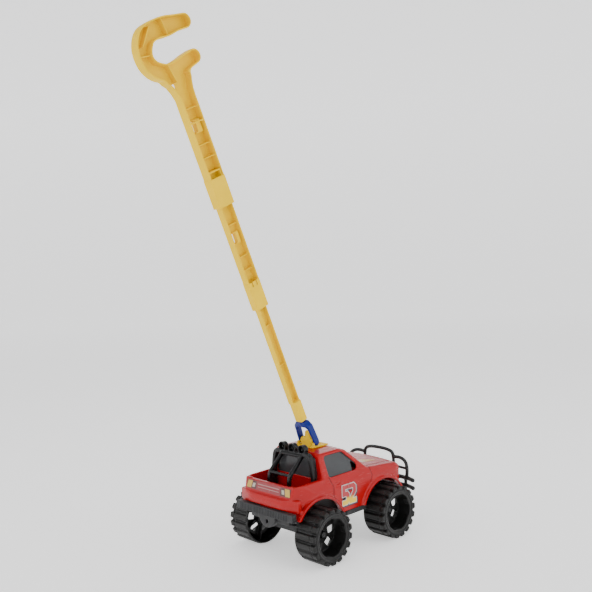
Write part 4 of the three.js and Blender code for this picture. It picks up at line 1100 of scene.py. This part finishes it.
digit_five = [
    (0, 26), (12.5, 26), (12.5, 20.5), (6, 20.5), (6, 17.2), (10, 17.2), (13.5, 13.5), (13.5, 4),
    (9.5, 0), (0, 0), (0, 6), (7, 6), (7.6, 6.8), (7.6, 10.5), (7, 11.3), (0, 11.3)]
digit_two = [
    (0, 26), (9.5, 26), (13.5, 22), (13.5, 14), (6.5, 6), (13.5, 6), (13.5, 0), (0, 0), (0, 6.5),
    (7.6, 15.5), (7.6, 19.5), (6.8, 20.3), (0, 20.3)]
number_low, number_high = size_of("door_number_right")
number_z = number_low[2]
number_mid = (number_low[0] + number_high[0]) / 2

dark_ink = print_finish("number shadow ink")
dark_ink.colour = dark_ink.blend((0.01, 0.006, 0.02), (0.02, 0.012, 0.03), dark_ink.haze)
white_ink = print_finish("number outline ink")
white_ink.colour = white_ink.blend((0.5, 0.48, 0.47), (0.62, 0.6, 0.6), white_ink.haze)
fill_ink = print_finish("number fill ink")
rise_up = (fill_ink.z + (fill_ink.haze - 0.5) * 2).fade(number_z + 11, number_z + 7)
fill_ink.colour = fill_ink.blend((0.4, 0.004, 0.01), (0.85, 0.55, 0.0), rise_up)
inks = [(done(dark_ink), 1.5, (1.3, -1.3), 0.0, 0.14), (done(white_ink), 1.0, (0, 0), 0.12, 0.24),
        (done(fill_ink), 0.0, (0, 0), 0.22, 0.3)]
for hand, way in (("left", 1), ("right", -1)):
    for layer, (ink, spread, shift, low, high) in enumerate(inks):
        for figure, outline in (("five", digit_five), ("two", digit_two)):
            start = -13.25 + (13.0 if figure == "two" else 0)
            area = sum(p[0] * q[1] - q[0] * p[1] for p, q in zip(outline, outline[1:] + outline[:1]))
            shape = grown(outline[::-1] if area < 0 else outline, spread)
            place_at = lambda u, v, h: (
                number_mid - way * (u + start + shift[0]), way * (side + 0.25 + h), number_z + v + shift[1])
            points, faces = prism(shape, place_at, low, high)
            show(f"door_number_{hand}_{figure}_{layer}", points, faces, ink, "truck",
                 [f"door_number_{hand}"], 30)

tail_low, tail_high = size_of("tail_label")
lamp_print = print_finish("tail lamp print", 0.25)
y_off, up = lamp_print.y.size(), lamp_print.z - tail_low[2]
gate_top = tail_high[2] - 0.9
tall = gate_top - tail_low[2]
lamp_print.colour = lamp_print.blend((0.2, 0.01, 0.015), (0.28, 0.02, 0.025), lamp_print.haze)
rows = (up + 0.6).wave(3.6).fade(0.72, 0.86) * (y_off < 20)
rows = rows * up.fade(3.4, 3.8) * up.fade(tall - 2.4, tall - 2.8)
lamp_print.colour = lamp_print.blend(lamp_print.colour, (0.42, 0.22, 0.2), rows * 0.75)
cluster = (y_off > 22.5) * up.fade(0.5, 0.8) * up.fade(tall - 0.5, tall - 0.8)
lamp_print.colour = lamp_print.blend(lamp_print.colour, (0.07, 0.012, 0.012), cluster)
slant = y_off + up * 0.25
inner = (slant > 26.5) * (slant < 31.2) * up.fade(2.6, 2.9) * up.fade(tall - 3.2, tall - 3.5)
outer_lamp = (slant > 32.8) * (slant < 41.2) * up.fade(1.0, 1.3) * up.fade(tall - 1.0, tall - 1.3)
flutes = lamp_print.y.wave(1.2)
lamp_print.colour = lamp_print.blend(lamp_print.colour, (0.5, 0.45, 0.36), inner * (flutes * 0.3 + 0.7))
lamp_print.colour = lamp_print.blend(
    lamp_print.colour, (0.62, 0.38, 0.04), outer_lamp * (flutes * 0.35 + 0.65))
lamp_print.relief = lamp_print.relief + (inner + outer_lamp) * flutes * 2
lamp_plastic = done(lamp_print)
corner_cut, gate_half, gate_low = 1.2, 41, tail_low[2]
gate = [(-gate_half + corner_cut, gate_low), (gate_half - corner_cut, gate_low),
        (gate_half, gate_low + corner_cut), (gate_half, gate_top - corner_cut),
        (gate_half - corner_cut, gate_top), (-gate_half + corner_cut, gate_top),
        (-gate_half, gate_top - corner_cut), (-gate_half, gate_low + corner_cut)]
gate_face = lambda v: tail + (v - 82) * (-97.2 - tail) / (98.6 - 82)
points, faces = prism(gate, lambda u, v, h: (gate_face(v) - h, -u, v), 0.0, 0.32)
show("tail_lamp_print", points, faces, lamp_plastic, "truck", ["tail_label"], 30)

flash_low, flash_high = size_of("bonnet_label")
flash_print = print_finish("bonnet flash print", 0.28)
flash_fade = (flash_print.x + (flash_print.haze - 0.5) * 4).fade(flash_high[0] - 30, flash_low[0] + 6)
flash_print.colour = flash_print.blend((0.6, 0.3, 0.01), (0.5, 0.4, 0.3), flash_fade)
flash_vinyl = done(flash_print)
bonnet_top = lambda u, v: 100.2 + (u - 34) * (96 - 100.2) / (95 - 34) - 0.0011 * v**2
stripes = ((27, 30, 74, 50), (22, 25, 69, 48), (17, 20, 64, 46))
for number, (inner_y, outer_y, front, rear) in enumerate(stripes):
    for hand, way in (("left", 1), ("right", -1)):
        steps = np.linspace(0, 1, 7)
        outline = [(rear + (front - rear) * t, inner_y - 3 * (1 - t)) for t in steps]
        outline += [(front + 3 - (front + 3 - rear) * t, outer_y - 1.5 * t) for t in steps]
        outline = outline if way > 0 else outline[::-1]
        points, faces = prism(
            outline, lambda u, v, h, way=way: (u, way * v, bonnet_top(u, v) + 0.05 + h), 0.0, 0.28)
        show(f"bonnet_flash_{hand}_{number}", points, faces, flash_vinyl, "truck",
             ["bonnet_label"], 30)

low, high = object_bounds()
